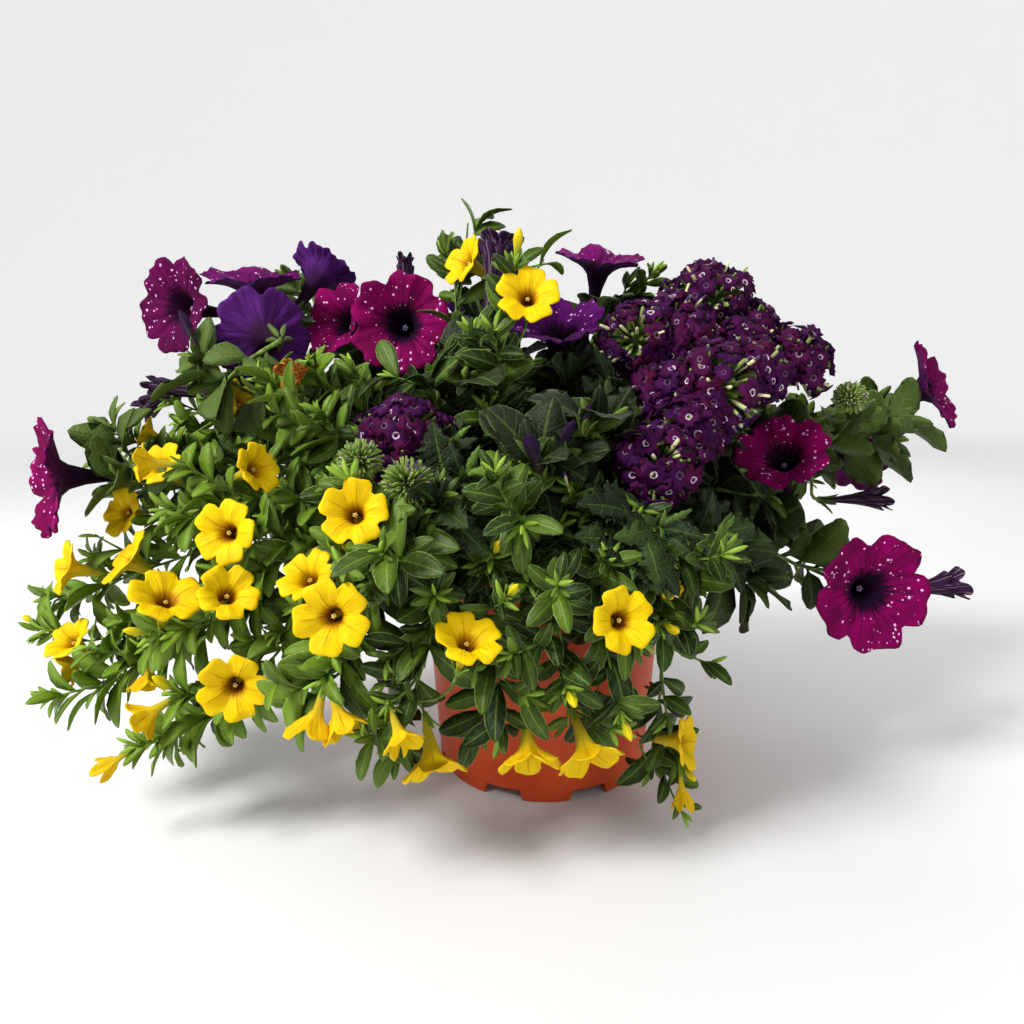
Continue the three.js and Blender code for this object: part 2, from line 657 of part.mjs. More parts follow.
// A bunch of verbena heads: florets like small five-petalled funnels, one from each face of a
// smaller core that doesn't look down
function makeBunch(bunch, label) {
  const growth = new Growth();
  const size = bunch.size.map((half) => half - floret.height);
  const { points, faces } = coreFaces({ ...bunch, size }, bunch.corePoints);
  growth.ring(points);
  const flowering = faces.filter((face) => face.rise > floret.lowest);
  const centres = flowering.map((face) => offset(face.centre, [face.out, floret.height]));
  for (const face of faces) {
    if (!flowering.includes(face)) growth.faces.push(face.corners);
  }
  flowering.forEach((face, index) => {
    const gaps = centres.filter((other) => other !== centres[index])
      .map((other) => other.distanceTo(centres[index]));
    const widest = Math.min(floret.radius, 0.46 * Math.min(...gaps));
    const turn = 10 * draw(label, index);
    const mark = { faces: growth.faces.length, sockets: 0 };
    for (const shrink of floretShrinks) {
      growth.faces.length = mark.faces;
      growFloret(growth, face, centres[index], widest * shrink, turn);
      if (!growth.crossesItself(mark)) break;
      growth.points.length -= 11;
    }
  });
  return growth.geometry();
}

// A floret on a core face: a funnel whose rim has five petals with notches between them
function growFloret(growth, face, centre, radius, turn) {
  const { across, up } = squareTo(face.out);
  const rim = Array.from({ length: 10 }, (unused, step) => {
    const spread = radius * (step % 2 ? 1 : floret.notch);
    const angle = ((step + turn) / 10) * 2 * Math.PI;
    return offset(centre, [across, spread * Math.cos(angle)], [up, spread * Math.sin(angle)]);
  });
  const far = growth.ring(rim);
  growth.strip(face.corners, growth.aligned(face.corners, far));
  growth.close(far, offset(centre, [face.out, -floret.dish]));
}

// The seats of a bunch's stems: the middles of the core faces that look down most
function bunchSeats(bunch) {
  const size = bunch.size.map((half) => half - floret.height);
  const { faces } = coreFaces({ ...bunch, size }, bunch.corePoints);
  const low = faces.filter((face) => face.rise <= floret.lowest).sort((a, b) => a.rise - b.rise);
  const picks = low.slice(0, bunch.stems);
  return picks.map((face) => ({ seat: offset(face.centre, [face.out, seatGap]), along: face.out }));
}

// A curve that leaves its start one way and arrives at a seat along an axis
function arrival(start, startWay, seat, axis, pull) {
  return new THREE.CubicBezierCurve3(start, offset(start, [startWay, pull]),
    offset(seat, [axis, -pull]), seat);
}

// The curve of a verbena head's stem: from a socket to its seat
function headCurve(socket, [out, rise], seat, axis) {
  const pull = socket.centre.distanceTo(seat) * 0.4;
  const way = offset(at(0, 0, 0), [socket.out, out], [at(0, 0, 1), rise]).normalize();
  return arrival(socket.centre, way, seat, axis, pull);
}

// A green ball of needle-like calyxes on a stem: a spike from every face of a small core
function growBall(growth, near, ball) {
  const half = ball.width / 2;
  const { points, faces } = coreFaces({ ...ball, size: [half * 0.5, half * 0.5, half * 0.45] }, 12);
  const base = growth.points.length;
  growth.ring(points);
  const lowest = faces.reduce((a, b) => (b.rise < a.rise ? b : a));
  for (const face of faces) {
    const corners = face.corners.map((corner) => base + corner);
    if (face === lowest) growth.strip(near, growth.aligned(near, [...corners].reverse()));
    else growth.close(corners, offset(face.centre, [face.out, half * 0.55]));
  }
}

// The space that is already taken: points with an owner, kept in cells
const taken = new Map();

function cellKey(spot, dx = 0, dy = 0, dz = 0) {
  const [i, j, k] = [spot.x, spot.y, spot.z].map((value) => Math.floor(value / cellSize) + 500);
  return ((i + dx) * 1000 + j + dy) * 1000 + k + dz;
}

const neighbours = Array.from({ length: 27 }, (unused, cell) => (
  [(cell % 3) - 1, (Math.floor(cell / 3) % 3) - 1, Math.floor(cell / 9) - 1]));

// Points over triangles, closely spaced
function spotsOn(points, faces) {
  const spots = [];
  for (const face of faces) {
    const [a, b, c] = face.map((corner) => points[corner]);
    const longest = Math.max(a.distanceTo(b), b.distanceTo(c), c.distanceTo(a));
    const parts = Math.max(1, Math.ceil(longest / spotSpacing));
    for (let i = 0; i <= parts; i++) {
      for (let j = 0; i + j <= parts; j++) {
        spots.push(offset(at(0, 0, 0), [a, i / parts], [b, j / parts], [c, 1 - (i + j) / parts]));
      }
    }
  }
  return spots;
}

function spotsOfGeometry(geometry) {
  const place = geometry.attributes.position;
  const points = Array.from({ length: place.count }, (unused, index) => (
    new THREE.Vector3().fromBufferAttribute(place, index)));
  const order = geometry.index.array;
  const faces = Array.from({ length: order.length / 3 }, (unused, index) => (
    [...order.slice(3 * index, 3 * index + 3)]));
  return spotsOn(points, faces);
}

function take(owner, spots) {
  for (const spot of spots) {
    const key = cellKey(spot);
    if (!taken.has(key)) taken.set(key, []);
    taken.get(key).push({ owner, spot });
  }
}

// Whether spots keep their distance from all that others have taken, apart from the foot of the
// one bloom that their owner carries
function isFree(owner, spots, carried) {
  const nearSeat = (spot) => spot.distanceTo(carried.seat) < room.seat;
  for (const spot of spots) {
    if (spot.z < floorClearance) return false;
    for (const step of neighbours) {
      for (const other of taken.get(cellKey(spot, ...step)) ?? []) {
        if (other.owner === owner) continue;
        if (other.owner === carried.name && nearSeat(spot) && nearSeat(other.spot)) continue;
        if (other.spot.distanceTo(spot) < room.clearance) return false;
      }
    }
  }
  return true;
}

// What a change adds to a growth, taken back unless it is free of others and of itself
function tryGrowing(growth, owner, change, carried = {}) {
  const mark = { faces: growth.faces.length, sockets: growth.sockets.length };
  const pointMark = growth.points.length;
  change();
  const spots = spotsOn(growth.points, growth.faces.slice(mark.faces));
  const free = isFree(owner, spots, carried) && !growth.crossesItself(mark);
  if (free) {
    take(owner, spots);
  } else {
    growth.points.length = pointMark;
    growth.faces.length = mark.faces;
    growth.sockets.length = mark.sockets;
  }
  return free;
}


// Grows a stalk with a calyx cup to a bloom's foot from the nearest socket that has a free way,
// and the bloom too where it is one piece with its plant
function growStalk(plant, bloom, kind, name, growBloom) {
  const { growth } = plant;
  const axis = facing(bloom.faces);
  const seat = offset(bloom.middle, [axis, -kind.length - seatGap]);
  const behind = offset(seat, [axis, -18]);
  const cost = (socket) => socket.centre.distanceTo(behind)
    + 14 * (1 - socket.out.dot(seat.clone().sub(socket.centre).normalize()));
  const sockets = growth.sockets.filter((socket) => !socket.used && socket.curve)
    .sort((a, b) => cost(a) - cost(b)).slice(0, 14);
  const ways = stalkPulls.flatMap((pull) => sockets.map((socket) => [socket, pull]));
  for (const [socket, pull] of ways) {
    const start = offset(socket.centre, [socket.out, -0.8]);
    const curve = arrival(start, socket.out, seat, axis, pull * start.distanceTo(seat));
    const parts = [0.36, 0.7, 1 - Math.min(0.2, 6 / curve.getLength())];
    const grown = tryGrowing(growth, plant.name, () => {
      const rings = curveRings(curve, parts, () => kind.stalkRadius);
      const near = growth.strips(growth.plug(socket, rings[0]), rings.slice(1));
      const cup = growth.ring(circle(seat, squareTo(axis), kind.calyxRadius, 5));
      growth.strip(near, growth.aligned(near, cup));
      if (growBloom) growBloom(cup);
      else growth.close(cup, offset(seat, [axis, -0.1]));
    }, { name, seat });
    if (grown) return;
    socket.used = false;
  }
  throw new Error(`${plant.name}: no free way to ${name}`);
}

// The crown of a plant: a short drum whose side patches are sockets for its stems
function makeCrown(plant) {
  const growth = new Growth();
  const [x, y] = plant.crown;
  const upright = { across: at(1, 0, 0), up: at(0, 1, 0) };
  const levels = [soilTop - crown.foot];
  for (let tier = 0; tier <= plant.tiers; tier++) levels.push(soilTop + crown.neck + tier * crown.row);
  const rings = levels.map((z) => growth.ring(circle(at(x, y, z), upright, crownRadius(plant),
    crown.sides)));
  growth.open(at(x, y, levels[0]), rings[0]);
  growth.strip(rings[0], rings[1]);
  for (let tier = 1; tier <= plant.tiers; tier++) growth.socketRow(rings[tier], rings[tier + 1], {});
  growth.close(rings.at(-1), at(x, y, levels.at(-1) + 1));
  return growth;
}


function crownRadius(plant) {
  return plant.kind === 'petunia' ? crown.petuniaRadius : crown.radius;
}

// Grows a stem from the first socket that has a free way to its target: of the crown's those
// that look most towards it, then those of the stems that grew before. curveFrom gives the curve
// for a socket and a start, and finish closes its end.
function growFromSocket(plant, target, curveFrom, finish, nodesOf, endParts) {
  const { growth } = plant;
  const aim = (socket) => socket.out.dot(target.clone().sub(socket.centre).setZ(0).normalize());
  const free = growth.sockets.filter((socket) => !socket.used);
  const upright = free.filter((socket) => !socket.curve).sort((a, b) => aim(b) - aim(a));
  const reach = (socket) => socket.centre.distanceTo(target) - 12 * aim(socket);
  const side = free.filter((socket) => socket.curve).sort((a, b) => reach(a) - reach(b));
  const ways = crownStarts.flatMap((start) => upright.map((socket) => [socket, start]));
  ways.push(...side.slice(0, 24).map((socket) => [socket, sideStart]));
  for (const [socket, start] of ways) {
    const curve = curveFrom(socket, start);
    const grown = tryGrowing(growth, plant.name, () => {
      const end = growStem(growth, socket, curve, plant.stemRadius, nodesOf(curve), endParts,
        plant.stemCount);
      finish(end, curve);
    });
    if (grown) {
      plant.stemCount++;
      return;
    }
    socket.used = false;
  }
  throw new Error(`${plant.name}: no free way for stem ${plant.stemCount}`);
}


// A plant's stems, one for each of its ways, and those of its heads and balls
function growStems(plant) {
  plant.growth = makeCrown(plant);
  plant.stemCount = 0;
  const { growth } = plant;
  take(plant.name, spotsOn(growth.points, growth.faces));
  for (const way of plant.stems) {
    growFromSocket(plant, way[0], (socket, [out, rise]) => {
      const nearest = way.reduce((a, b) => (
        b.distanceTo(socket.centre) < a.distanceTo(socket.centre) ? b : a));
      const ahead = way.slice(way.indexOf(nearest))
        .filter((point) => point.distanceTo(socket.centre) > 18);
      const points = [offset(socket.centre, [socket.out, -0.5]),
        offset(socket.centre, [socket.out, out], [at(0, 0, 1), rise]),
        ...(ahead.length ? ahead : way.slice(-1))];
      return new THREE.CatmullRomCurve3(points, false, 'catmullrom', 0.5);
    }, (end, curve) => growth.close(end, offset(curve.getPoint(1), [curve.getTangent(1), 1.5])),
    (curve) => nodeParts(curve, nodeSpacing[plant.kind]), []);
  }
  const own = (item) => item.plant === plant.name;
  for (const bunch of verbenaBunches.filter(own)) {
    for (const { seat, along } of bunchSeats(bunch)) {
      growFromSocket(plant, seat,
        (socket, start) => headCurve(socket, start, seat, along.clone().negate()),
        (end) => growth.close(end, offset(seat, [along, 0.05])), () => headNodes, [1]);
    }
  }
  for (const ball of calyxBalls.filter(own)) {
    const axis = facing(ball.faces);
    const seat = offset(ball.middle, [axis, -ball.width * 0.4]);
    growFromSocket(plant, seat, (socket, start) => headCurve(socket, start, seat, axis),
      (end) => growBall(growth, end, ball), () => headNodes, [1]);
  }
}

// One possible leaf in a socket; each try opens or turns it another way
function leafCandidate(plant, plantIndex, socket, side, trial) {
  const label = [plantIndex, socket.stem, socket.node, side];
  const kind = leafKinds[plant.kind];
  const along = socket.curve.getTangent(socket.part);
  const opens = (socket.last ? tipLeafOpens : leafOpens)[trial];
  const open = THREE.MathUtils.degToRad(opens + 10 * (draw(...label, 2) - 0.5));
  const twist = leafTwists[trial] + 0.4 * (draw(...label, 5) - 0.5);
  const around = new THREE.Vector3().crossVectors(along, socket.out).normalize();
  const radial = offset(at(0, 0, 0), [socket.out, Math.cos(twist)], [around, Math.sin(twist)]);
  const direction = offset(at(0, 0, 0), [along, Math.cos(open)], [radial, Math.sin(open)]);
  const root = socket.curve.getPoint(socket.part);
  const outward = root.clone().sub(moundHeart).normalize();
  return {
    kind: plant.kind,
    root,
    along: direction.normalize(),
    up: offset(at(0, 0, 0.35), [outward, 0.9]),
    length: kind.length * (socket.last ? 0.82 : 1) * (0.82 + 0.34 * draw(...label, 3)),
    arch: 0.6 + 0.8 * draw(...label, 4),
  };
}

// The leaves of a plant, each grown in the first way that is free
function growLeaves(plant, plantIndex) {
  const { growth } = plant;
  const sockets = growth.sockets.filter((socket) => socket.curve);
  sockets.forEach((socket, index) => {
    const side = index % stemSides;
    const count = leavesAtNode[plant.kind] - (socket.node === 0 ? 1 : 0);
    const skipped = (side + socket.node) % stemSides >= count;
    if (socket.used || (skipped && !socket.last)) return;
    for (let trial = 0; trial < leafOpens.length; trial++) {
      const leaf = leafCandidate(plant, plantIndex, socket, side, trial);
      if (tryGrowing(growth, plant.name, () => growLeaf(growth, socket, leaf))) return;
      socket.used = false;
    }
  });
}

const colours = {
  pot: new THREE.Color(0xb8523a),
  soil: new THREE.Color(0x3b2a1f),
  calibrachoa: new THREE.Color(0x5c8a2e),
  petunia: new THREE.Color(0x4a6b34),
  verbena: new THREE.Color(0x3f6230),
  yellow: new THREE.Color(0xf5cf17),
  magenta: new THREE.Color(0x8a0a66),
  purple: new THREE.Color(0x4a1552),
};

const group = new THREE.Group();

function add(name, geometry, colour, roughness) {
  const material = new THREE.MeshStandardMaterial({ color: colour, roughness, metalness: 0 });
  const mesh = new THREE.Mesh(geometry, material);
  mesh.name = name;
  group.add(mesh);
}

// A closed geometry as a solid, and a solid as a geometry
function solid(geometry) {
  const bare = geometry.clone();
  bare.deleteAttribute('normal');
  bare.deleteAttribute('uv');
  const merged = mergeVertices(bare, 1e-4);
  return new Manifold(new SolidMesh({
    numProp: 3,
    vertProperties: new Float32Array(merged.attributes.position.array),
    triVerts: new Uint32Array(merged.index.array),
  }));
}

function geometryOf(body) {
  const mesh = body.getMesh();
  const geometry = new THREE.BufferGeometry();
  geometry.setAttribute('position', new THREE.BufferAttribute(mesh.vertProperties, 3));
  geometry.setIndex(new THREE.BufferAttribute(mesh.triVerts, 1));
  return geometry;
}

// The pot's outer radius at a height
function potRadius(height) {
  return pot.baseRadius + ((pot.topRadius - pot.baseRadius) * height) / pot.height;
}

// A closed profile of [radius, height] pairs turned about the pot's axis
function turned(profile, sides) {
  const outline = profile.map(([radius, height]) => new THREE.Vector2(radius, height));
  const lathe = new THREE.LatheGeometry(outline, sides);
  lathe.rotateX(Math.PI / 2);
  return solid(lathe);
}

// The pot: a lathed wall with a rim band and a raised base panel, a skirt cut into feet, and
// drain holes through the panel
function makePot() {
  const panelTop = pot.skirtHeight + pot.floorThickness;
  const rimFoot = pot.height - pot.rimHeight;
  let body = turned([
    [0, pot.skirtHeight],
    [potRadius(pot.skirtHeight) - pot.wall, pot.skirtHeight],
    [pot.baseRadius - pot.wall, 0],
    [pot.baseRadius, 0],
    [potRadius(rimFoot), rimFoot],
    [pot.rimRadius, rimFoot + 1],
    [pot.rimRadius, pot.height],
    [pot.rimRadius - pot.wall, pot.height],
    [potRadius(rimFoot) - pot.wall, rimFoot],
    [potRadius(panelTop) - pot.wall, panelTop],
    [0, panelTop],
  ], pot.sides);
  for (let index = 0; index < pot.notches; index++) {
    const notch = new THREE.BoxGeometry(12, pot.notchWidth, 2 * pot.skirtHeight - 1);
    notch.translate(pot.baseRadius, 0, 0);
    notch.rotateZ(((index + 0.5) / pot.notches) * 2 * Math.PI);
    body = body.subtract(solid(notch));
  }
  for (let index = 0; index < pot.drainHoles; index++) {
    const hole = new THREE.CylinderGeometry(pot.drainHoleRadius, pot.drainHoleRadius, 12, 6);
    hole.rotateX(Math.PI / 2);
    hole.translate(pot.drainRingRadius, 0, panelTop - 1);
    hole.rotateZ((index / pot.drainHoles) * 2 * Math.PI);
    body = body.subtract(solid(hole));
  }
  return geometryOf(body);
}

// The growing medium: a crowned plug inside the wall, with a hole for each crown of stems
function makeSoil() {
  const bottom = pot.skirtHeight + pot.floorThickness + seatGap;
  const clear = pot.wall + seatGap + 0.4;
  let body = turned([
    [0, bottom],
    [potRadius(bottom) - clear, bottom],
    [potRadius(soilTop - 1) - clear, soilTop - 1],
    [potRadius(soilTop) - clear - 8, soilTop + 1],
    [0, soilTop + soilCrown],
  ], 20);
  for (const plant of plants) {
    const radius = crownRadius(plant) + seatGap;
    const hole = new THREE.CylinderGeometry(radius, radius, 40, crown.sides);
    hole.rotateX(Math.PI / 2);
    hole.rotateZ(Math.PI / crown.sides);
    hole.translate(plant.crown[0], plant.crown[1], soilTop - crown.foot - seatGap + 20);
    body = body.subtract(solid(hole));
  }
  return geometryOf(body);
}

const numbered = (name, index) => `${name}_${String(index + 1).padStart(2, '0')}`;

function addSolid(name, geometry, colour, roughness) {
  take(name, spotsOfGeometry(geometry));
  add(name, geometry, colour, roughness);
}

addSolid('pot', makePot(), colours.pot, 0.45);
addSolid('soil', makeSoil(), colours.soil, 0.95);
plants.forEach(growStems);
petuniaBlooms.forEach((bloom, index) => {
  bloom.name = numbered('petunia_bloom', index);
  addSolid(bloom.name, makeBloom(bloom, bloomKinds.petunia, 100 + index), colours.magenta, 0.6);
});
yellowBlooms.forEach((bloom, index) => {
  bloom.name = numbered('yellow_bloom', index);
  addSolid(bloom.name, makeBloom(bloom, bloomKinds.calibrachoa, 200 + index), colours.yellow, 0.6);
});
verbenaBunches.forEach((bunch, index) => {
  addSolid(bunch.name, makeBunch(bunch, 300 + index), colours.purple, 0.6);
});
for (const plant of plants) {
  const own = (item) => item.plant === plant.name;
  for (const bloom of petuniaBlooms.filter(own)) {
    growStalk(plant, bloom, bloomKinds.petunia, bloom.name);
  }
  for (const bloom of yellowBlooms.filter(own)) {
    growStalk(plant, bloom, bloomKinds.calibrachoa, bloom.name);
  }
  spentBlooms.filter(own).forEach((bloom) => {
    const rings = trumpetRings(bloom, bloomKinds.wilted, 900 + spentBlooms.indexOf(bloom));
    growStalk(plant, bloom, bloomKinds.wilted, 'a spent bloom',
      (cup) => growTrumpet(plant.growth, cup, rings));
  });
}
plants.forEach((plant, index) => {
  growLeaves(plant, index);
  add(plant.name, plant.growth.geometry(), colours[plant.kind], 0.7);
});

export default group;
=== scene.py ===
import math

import bmesh
import bpy
import numpy as np
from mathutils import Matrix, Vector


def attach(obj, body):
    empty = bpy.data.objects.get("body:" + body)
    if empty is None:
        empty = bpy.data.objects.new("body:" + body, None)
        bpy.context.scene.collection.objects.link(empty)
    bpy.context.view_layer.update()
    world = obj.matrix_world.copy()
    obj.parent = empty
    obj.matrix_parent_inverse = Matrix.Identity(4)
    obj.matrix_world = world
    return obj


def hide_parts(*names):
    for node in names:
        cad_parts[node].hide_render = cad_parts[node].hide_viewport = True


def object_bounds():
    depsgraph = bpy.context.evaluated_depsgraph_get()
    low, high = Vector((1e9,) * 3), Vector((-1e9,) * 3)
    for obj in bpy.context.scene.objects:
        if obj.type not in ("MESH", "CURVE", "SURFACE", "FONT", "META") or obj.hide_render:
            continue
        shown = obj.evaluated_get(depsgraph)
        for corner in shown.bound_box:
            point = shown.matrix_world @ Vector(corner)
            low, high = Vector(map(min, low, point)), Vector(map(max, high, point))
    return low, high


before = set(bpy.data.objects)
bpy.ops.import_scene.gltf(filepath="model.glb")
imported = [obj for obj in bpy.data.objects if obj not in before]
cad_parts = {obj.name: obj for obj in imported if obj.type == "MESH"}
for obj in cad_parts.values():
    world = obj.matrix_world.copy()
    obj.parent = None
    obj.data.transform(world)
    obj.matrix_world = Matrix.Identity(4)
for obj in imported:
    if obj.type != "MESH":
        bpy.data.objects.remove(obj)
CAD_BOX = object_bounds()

# A mixed pot: verbena, petunia and calibrachoa in a plastic nursery pot. The stems, leaves and
# blooms are read from the frame's solids and grown again with fine surfaces in the same places.

MM = 0.001
FULL_TURN = 2 * math.pi
GOLDEN_TURN = math.pi * (3 - math.sqrt(5))
ANY_TURN = (0, 6.28)
PLANTS = [f"{kind}_{side}" for kind, sides in (
    ("calibrachoa", ("left", "front_left", "front", "right", "top", "back")),
    ("petunia", ("left", "top", "right", "back")),
    ("verbena", ("right", "left", "back"))) for side in sides]
MOUND_HEART = np.array([0, 0, 113 * MM])
POT = {"height": 125, "base": 60, "top": 69, "rim": 71, "rim_height": 13, "wall": 2,
       "skirt": 6.5, "floor": 2, "notches": 8, "notch_width": 22}
SEEDS = {"plants": 100, "spent": 500, "small": 600, "dried": 640, "buds": 660, "shoots": 670,
         "wilted": 680, "blooms": 700, "heads": 900, "between": 950, "soil": 41, "sepals": 7}

# The camera's place, how far it looks down, and in pixels of a picture 1024 wide its focal
# length, the picture's middle and the row above which no leaf is added
EYE = np.array([-0.018, -0.413, 0.221])
CAMERA_PITCH = math.radians(10.6)
FORWARD = np.array([0, math.cos(CAMERA_PITCH), -math.sin(CAMERA_PITCH)])
UPWARD = np.array([0, math.sin(CAMERA_PITCH), math.cos(CAMERA_PITCH)])
PICTURE_WIDTH = 1024
MIDDLE = PICTURE_WIDTH / 2
FOCAL = 740
TOP_ROW = 222


def pot_radius(height):
    """The wall's outer radius at a height (mm)."""
    return POT["base"] + (POT["top"] - POT["base"]) * height / POT["height"]


def seen(spots):
    """Where points lie in the picture, in pixels across and down."""
    arms = spots - EYE
    depth = arms @ FORWARD
    return np.stack([MIDDLE + FOCAL * arms[:, 0] / depth, MIDDLE - FOCAL * (arms @ UPWARD) / depth],
                    axis=1)


def spot_behind(across, down, depth):
    """The point that shows at a place in the picture and lies at a depth (mm) behind the pot's
    axis."""
    ray = FORWARD + np.array([(across - MIDDLE) / FOCAL, 0, 0]) + UPWARD * (MIDDLE - down) / FOCAL
    return EYE + ray * (depth * MM - EYE[1]) / ray[1]


# Directions and lines

def unit(vectors):
    """Vectors of length one, along the last axis."""
    return vectors / np.maximum(np.linalg.norm(vectors, axis=-1, keepdims=True), 1e-12)


def square_to(along, hint):
    """Two directions square to each way: across it and up from it, nearest to the hint."""
    across = unit(np.cross(hint, along))
    return across, unit(np.cross(along, across))


def square_to_upright(along):
    """Two directions square to each way, the second as upright as it can be, or as far to the
    back as it can be where the way itself stands upright."""
    return square_to(along, np.where(np.abs(along[:, 2:]) > 0.9, [[0, 1.0, 0]], [[0, 0, 1.0]]))


def sides_of(way, hint):
    """Two directions square to one way, the second nearest to the hint."""
    across, up = square_to(way[None], np.array([hint]))
    return across[0], up[0]


def circle(sides):
    """Even turns round a circle, from 0."""
    return np.linspace(0, FULL_TURN, sides, endpoint=False)


def turned(across, up, turn):
    """Directions at turns about a way, from its across direction towards its up direction."""
    return across * np.cos(turn) + up * np.sin(turn)


def golden(heights, across, up, ahead, first=0.5):
    """Directions over a ball by the golden angle, at heights along the way ahead. The first one
    lies at a part of that angle."""
    turn = (GOLDEN_TURN * (np.arange(len(heights)) + first))[:, None]
    return ahead * heights[:, None] + turned(across, up, turn) * np.sqrt(1 - heights ** 2)[:, None]


def run_of(line):
    """How far along a line each of its points lies."""
    return np.concatenate([[0], np.cumsum(np.linalg.norm(np.diff(line, axis=0), axis=1))])


def along_line(places, run, values):
    """The points or directions of a line at places in its run."""
    return np.stack([np.interp(places, run, values[:, side]) for side in range(3)], axis=-1)


def smooth_way(way, spacing):
    """A curve through the points of a way as a Catmull-Rom spline, sampled about every spacing.
    Gives the points and their tangents."""
    padded = np.vstack([2 * way[0] - way[1], way, 2 * way[-1] - way[-2]])
    spots, tangents = [], []
    for index in range(len(way) - 1):
        a, b, c, d = padded[index:index + 4]
        count = max(1, int(np.linalg.norm(c - b) / spacing))
        t = np.linspace(0, 1, count, endpoint=False)[:, None]
        bow = [-a + 3 * b - 3 * c + d, 2 * a - 5 * b + 4 * c - d, c - a, 2 * b]
        spots.append(0.5 * (bow[0] * t ** 3 + bow[1] * t ** 2 + bow[2] * t + bow[3]))
        tangents.append(0.5 * (3 * bow[0] * t ** 2 + 2 * bow[1] * t + bow[2]))
    spots.append(way[-1:])
    tangents.append((way[-1] - way[-2])[None])
    return np.vstack(spots), unit(np.vstack(tangents))


# Reading the solids

# How far apart two corners are that make one point, how wide a leaf's rings are at least and a
# stem's at most, how far a stalk's ring lies from the middle of the ring before it, and how evenly
# points lie round a bloom's pole and in a floret's plane (m)
WELD = 0.02 * MM
LEAF_RING = 5 * MM
STEM_RING = 3.8 * MM
STALK_REACH = 3 * MM
POLE_SPREAD = 0.03 * MM
FLORET_SPREAD = 0.05 * MM

# How straight one ring follows another to be joined to it, as a product of two cosines, and how
# far out a bloom's rim lies at its notches, as a part of its radius
STRAIGHT = 0.4
NOTCH = 0.94


def solid_of(name):
    """A CAD node's points, in metres, with points that lie together made one, its triangles, and
    for each point the points that an edge joins it to."""
    form = bmesh.new()
    form.from_mesh(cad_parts[name].data)
    bmesh.ops.remove_doubles(form, verts=form.verts, dist=WELD)
    bmesh.ops.triangulate(form, faces=form.faces)
    form.verts.index_update()
    points = np.array([vert.co for vert in form.verts])
    faces = [tuple(vert.index for vert in face.verts) for face in form.faces]
    form.free()
    touching = [set() for _ in points]
    for a, b, c in faces:
        touching[a] |= {b, c}
        touching[b] |= {a, c}
        touching[c] |= {a, b}
    return points, faces, touching


def longest_side(points, corners):
    """The length of the longest line between any two of the corners."""
    spots = points[list(corners)]
    return np.linalg.norm(spots[:, None] - spots[None], axis=2).max()


def around(touching, ring, known):
    """The points next to a ring that are neither in it nor known already."""
    return set().union(*(touching[corner] for corner in ring)) - ring - known


def read_leaves(points, touching, ring_count):
    """Walks down each leaf from its tip, which three points touch, over its rings of three to the
    four corners of its socket. Gives lists of (tip, rings from tip to root, corners)."""
    leaves = []
    for tip, close in enumerate(touching):
        if len(close) != 3:
            continue
        known, ring, rings = {tip}, set(close), [set(close)]
        beyond = around(touching, ring, known)
        while len(beyond) == 3 and len(rings) <= ring_count:
            known |= ring
            ring = beyond
            rings.append(ring)
            beyond = around(touching, ring, known)
        wide = max(longest_side(points, each) for each in rings)
        if len(beyond) == 4 and len(rings) == ring_count and wide > LEAF_RING:
            leaves.append((tip, rings, beyond))
    return leaves


def read_rings(points, touching, faces, leafy):
    """The rings of stems and stalks: three points that touch each other with no face between."""
    solid = {frozenset(face) for face in faces}
    rings = []
    for a, close in enumerate(touching):
        if a in leafy:
            continue
        for b in (point for point in close if point > a):
            for c in (point for point in touching[b] & close if point > b):
                corners = frozenset((a, b, c))
                if corners not in solid and longest_side(points, corners) < STEM_RING:
                    if not corners & leafy:
                        rings.append(corners)
    return rings


def read_chains(points, touching, faces, leafy):
    """Joins the rings into stems and stalks: on each side of a ring, the ring that it is joined to
    whose middle lies most nearly straight ahead of both, where both choose each other. Each chain
    gives its way from start to end, the radii there and what ends it."""
    rings = read_rings(points, touching, faces, leafy)
    corners = np.array([sorted(ring) for ring in rings])
    centres = points[corners].mean(axis=1)
    a, b, c = points[corners].transpose(1, 0, 2)
    normals = unit(np.cross(b - a, c - a))
    ring_at = {corner: index for index, ring in enumerate(rings) for corner in ring}
    ahead = []
    for index, ring in enumerate(rings):
        best = {}
        close = {ring_at[point] for point in around(touching, set(ring), set()) if point in ring_at}
        for far in close - {index}:
            way = unit(centres[far] - centres[index])
            lean = way @ normals[index]
            fit = abs(lean) * abs(way @ normals[far])
            if fit > STRAIGHT and fit > best.get(lean > 0, (0, 0))[0]:
                best[lean > 0] = (fit, far)
        ahead.append({far for _, far in best.values()})
    rows = [[far for far in row if index in ahead[far]] for index, row in enumerate(ahead)]
    chains, used = [], set()
    for first, row in enumerate(rows):
        if first in used or len(row) > 1:
            continue
        order = [first]
        while True:
            step = [far for far in rows[order[-1]] if far not in order]
            if not step:
                break
            order.append(step[0])
        used |= set(order)
        chains.append(finish_chain(points, touching, rings, order, leafy))
    return chains


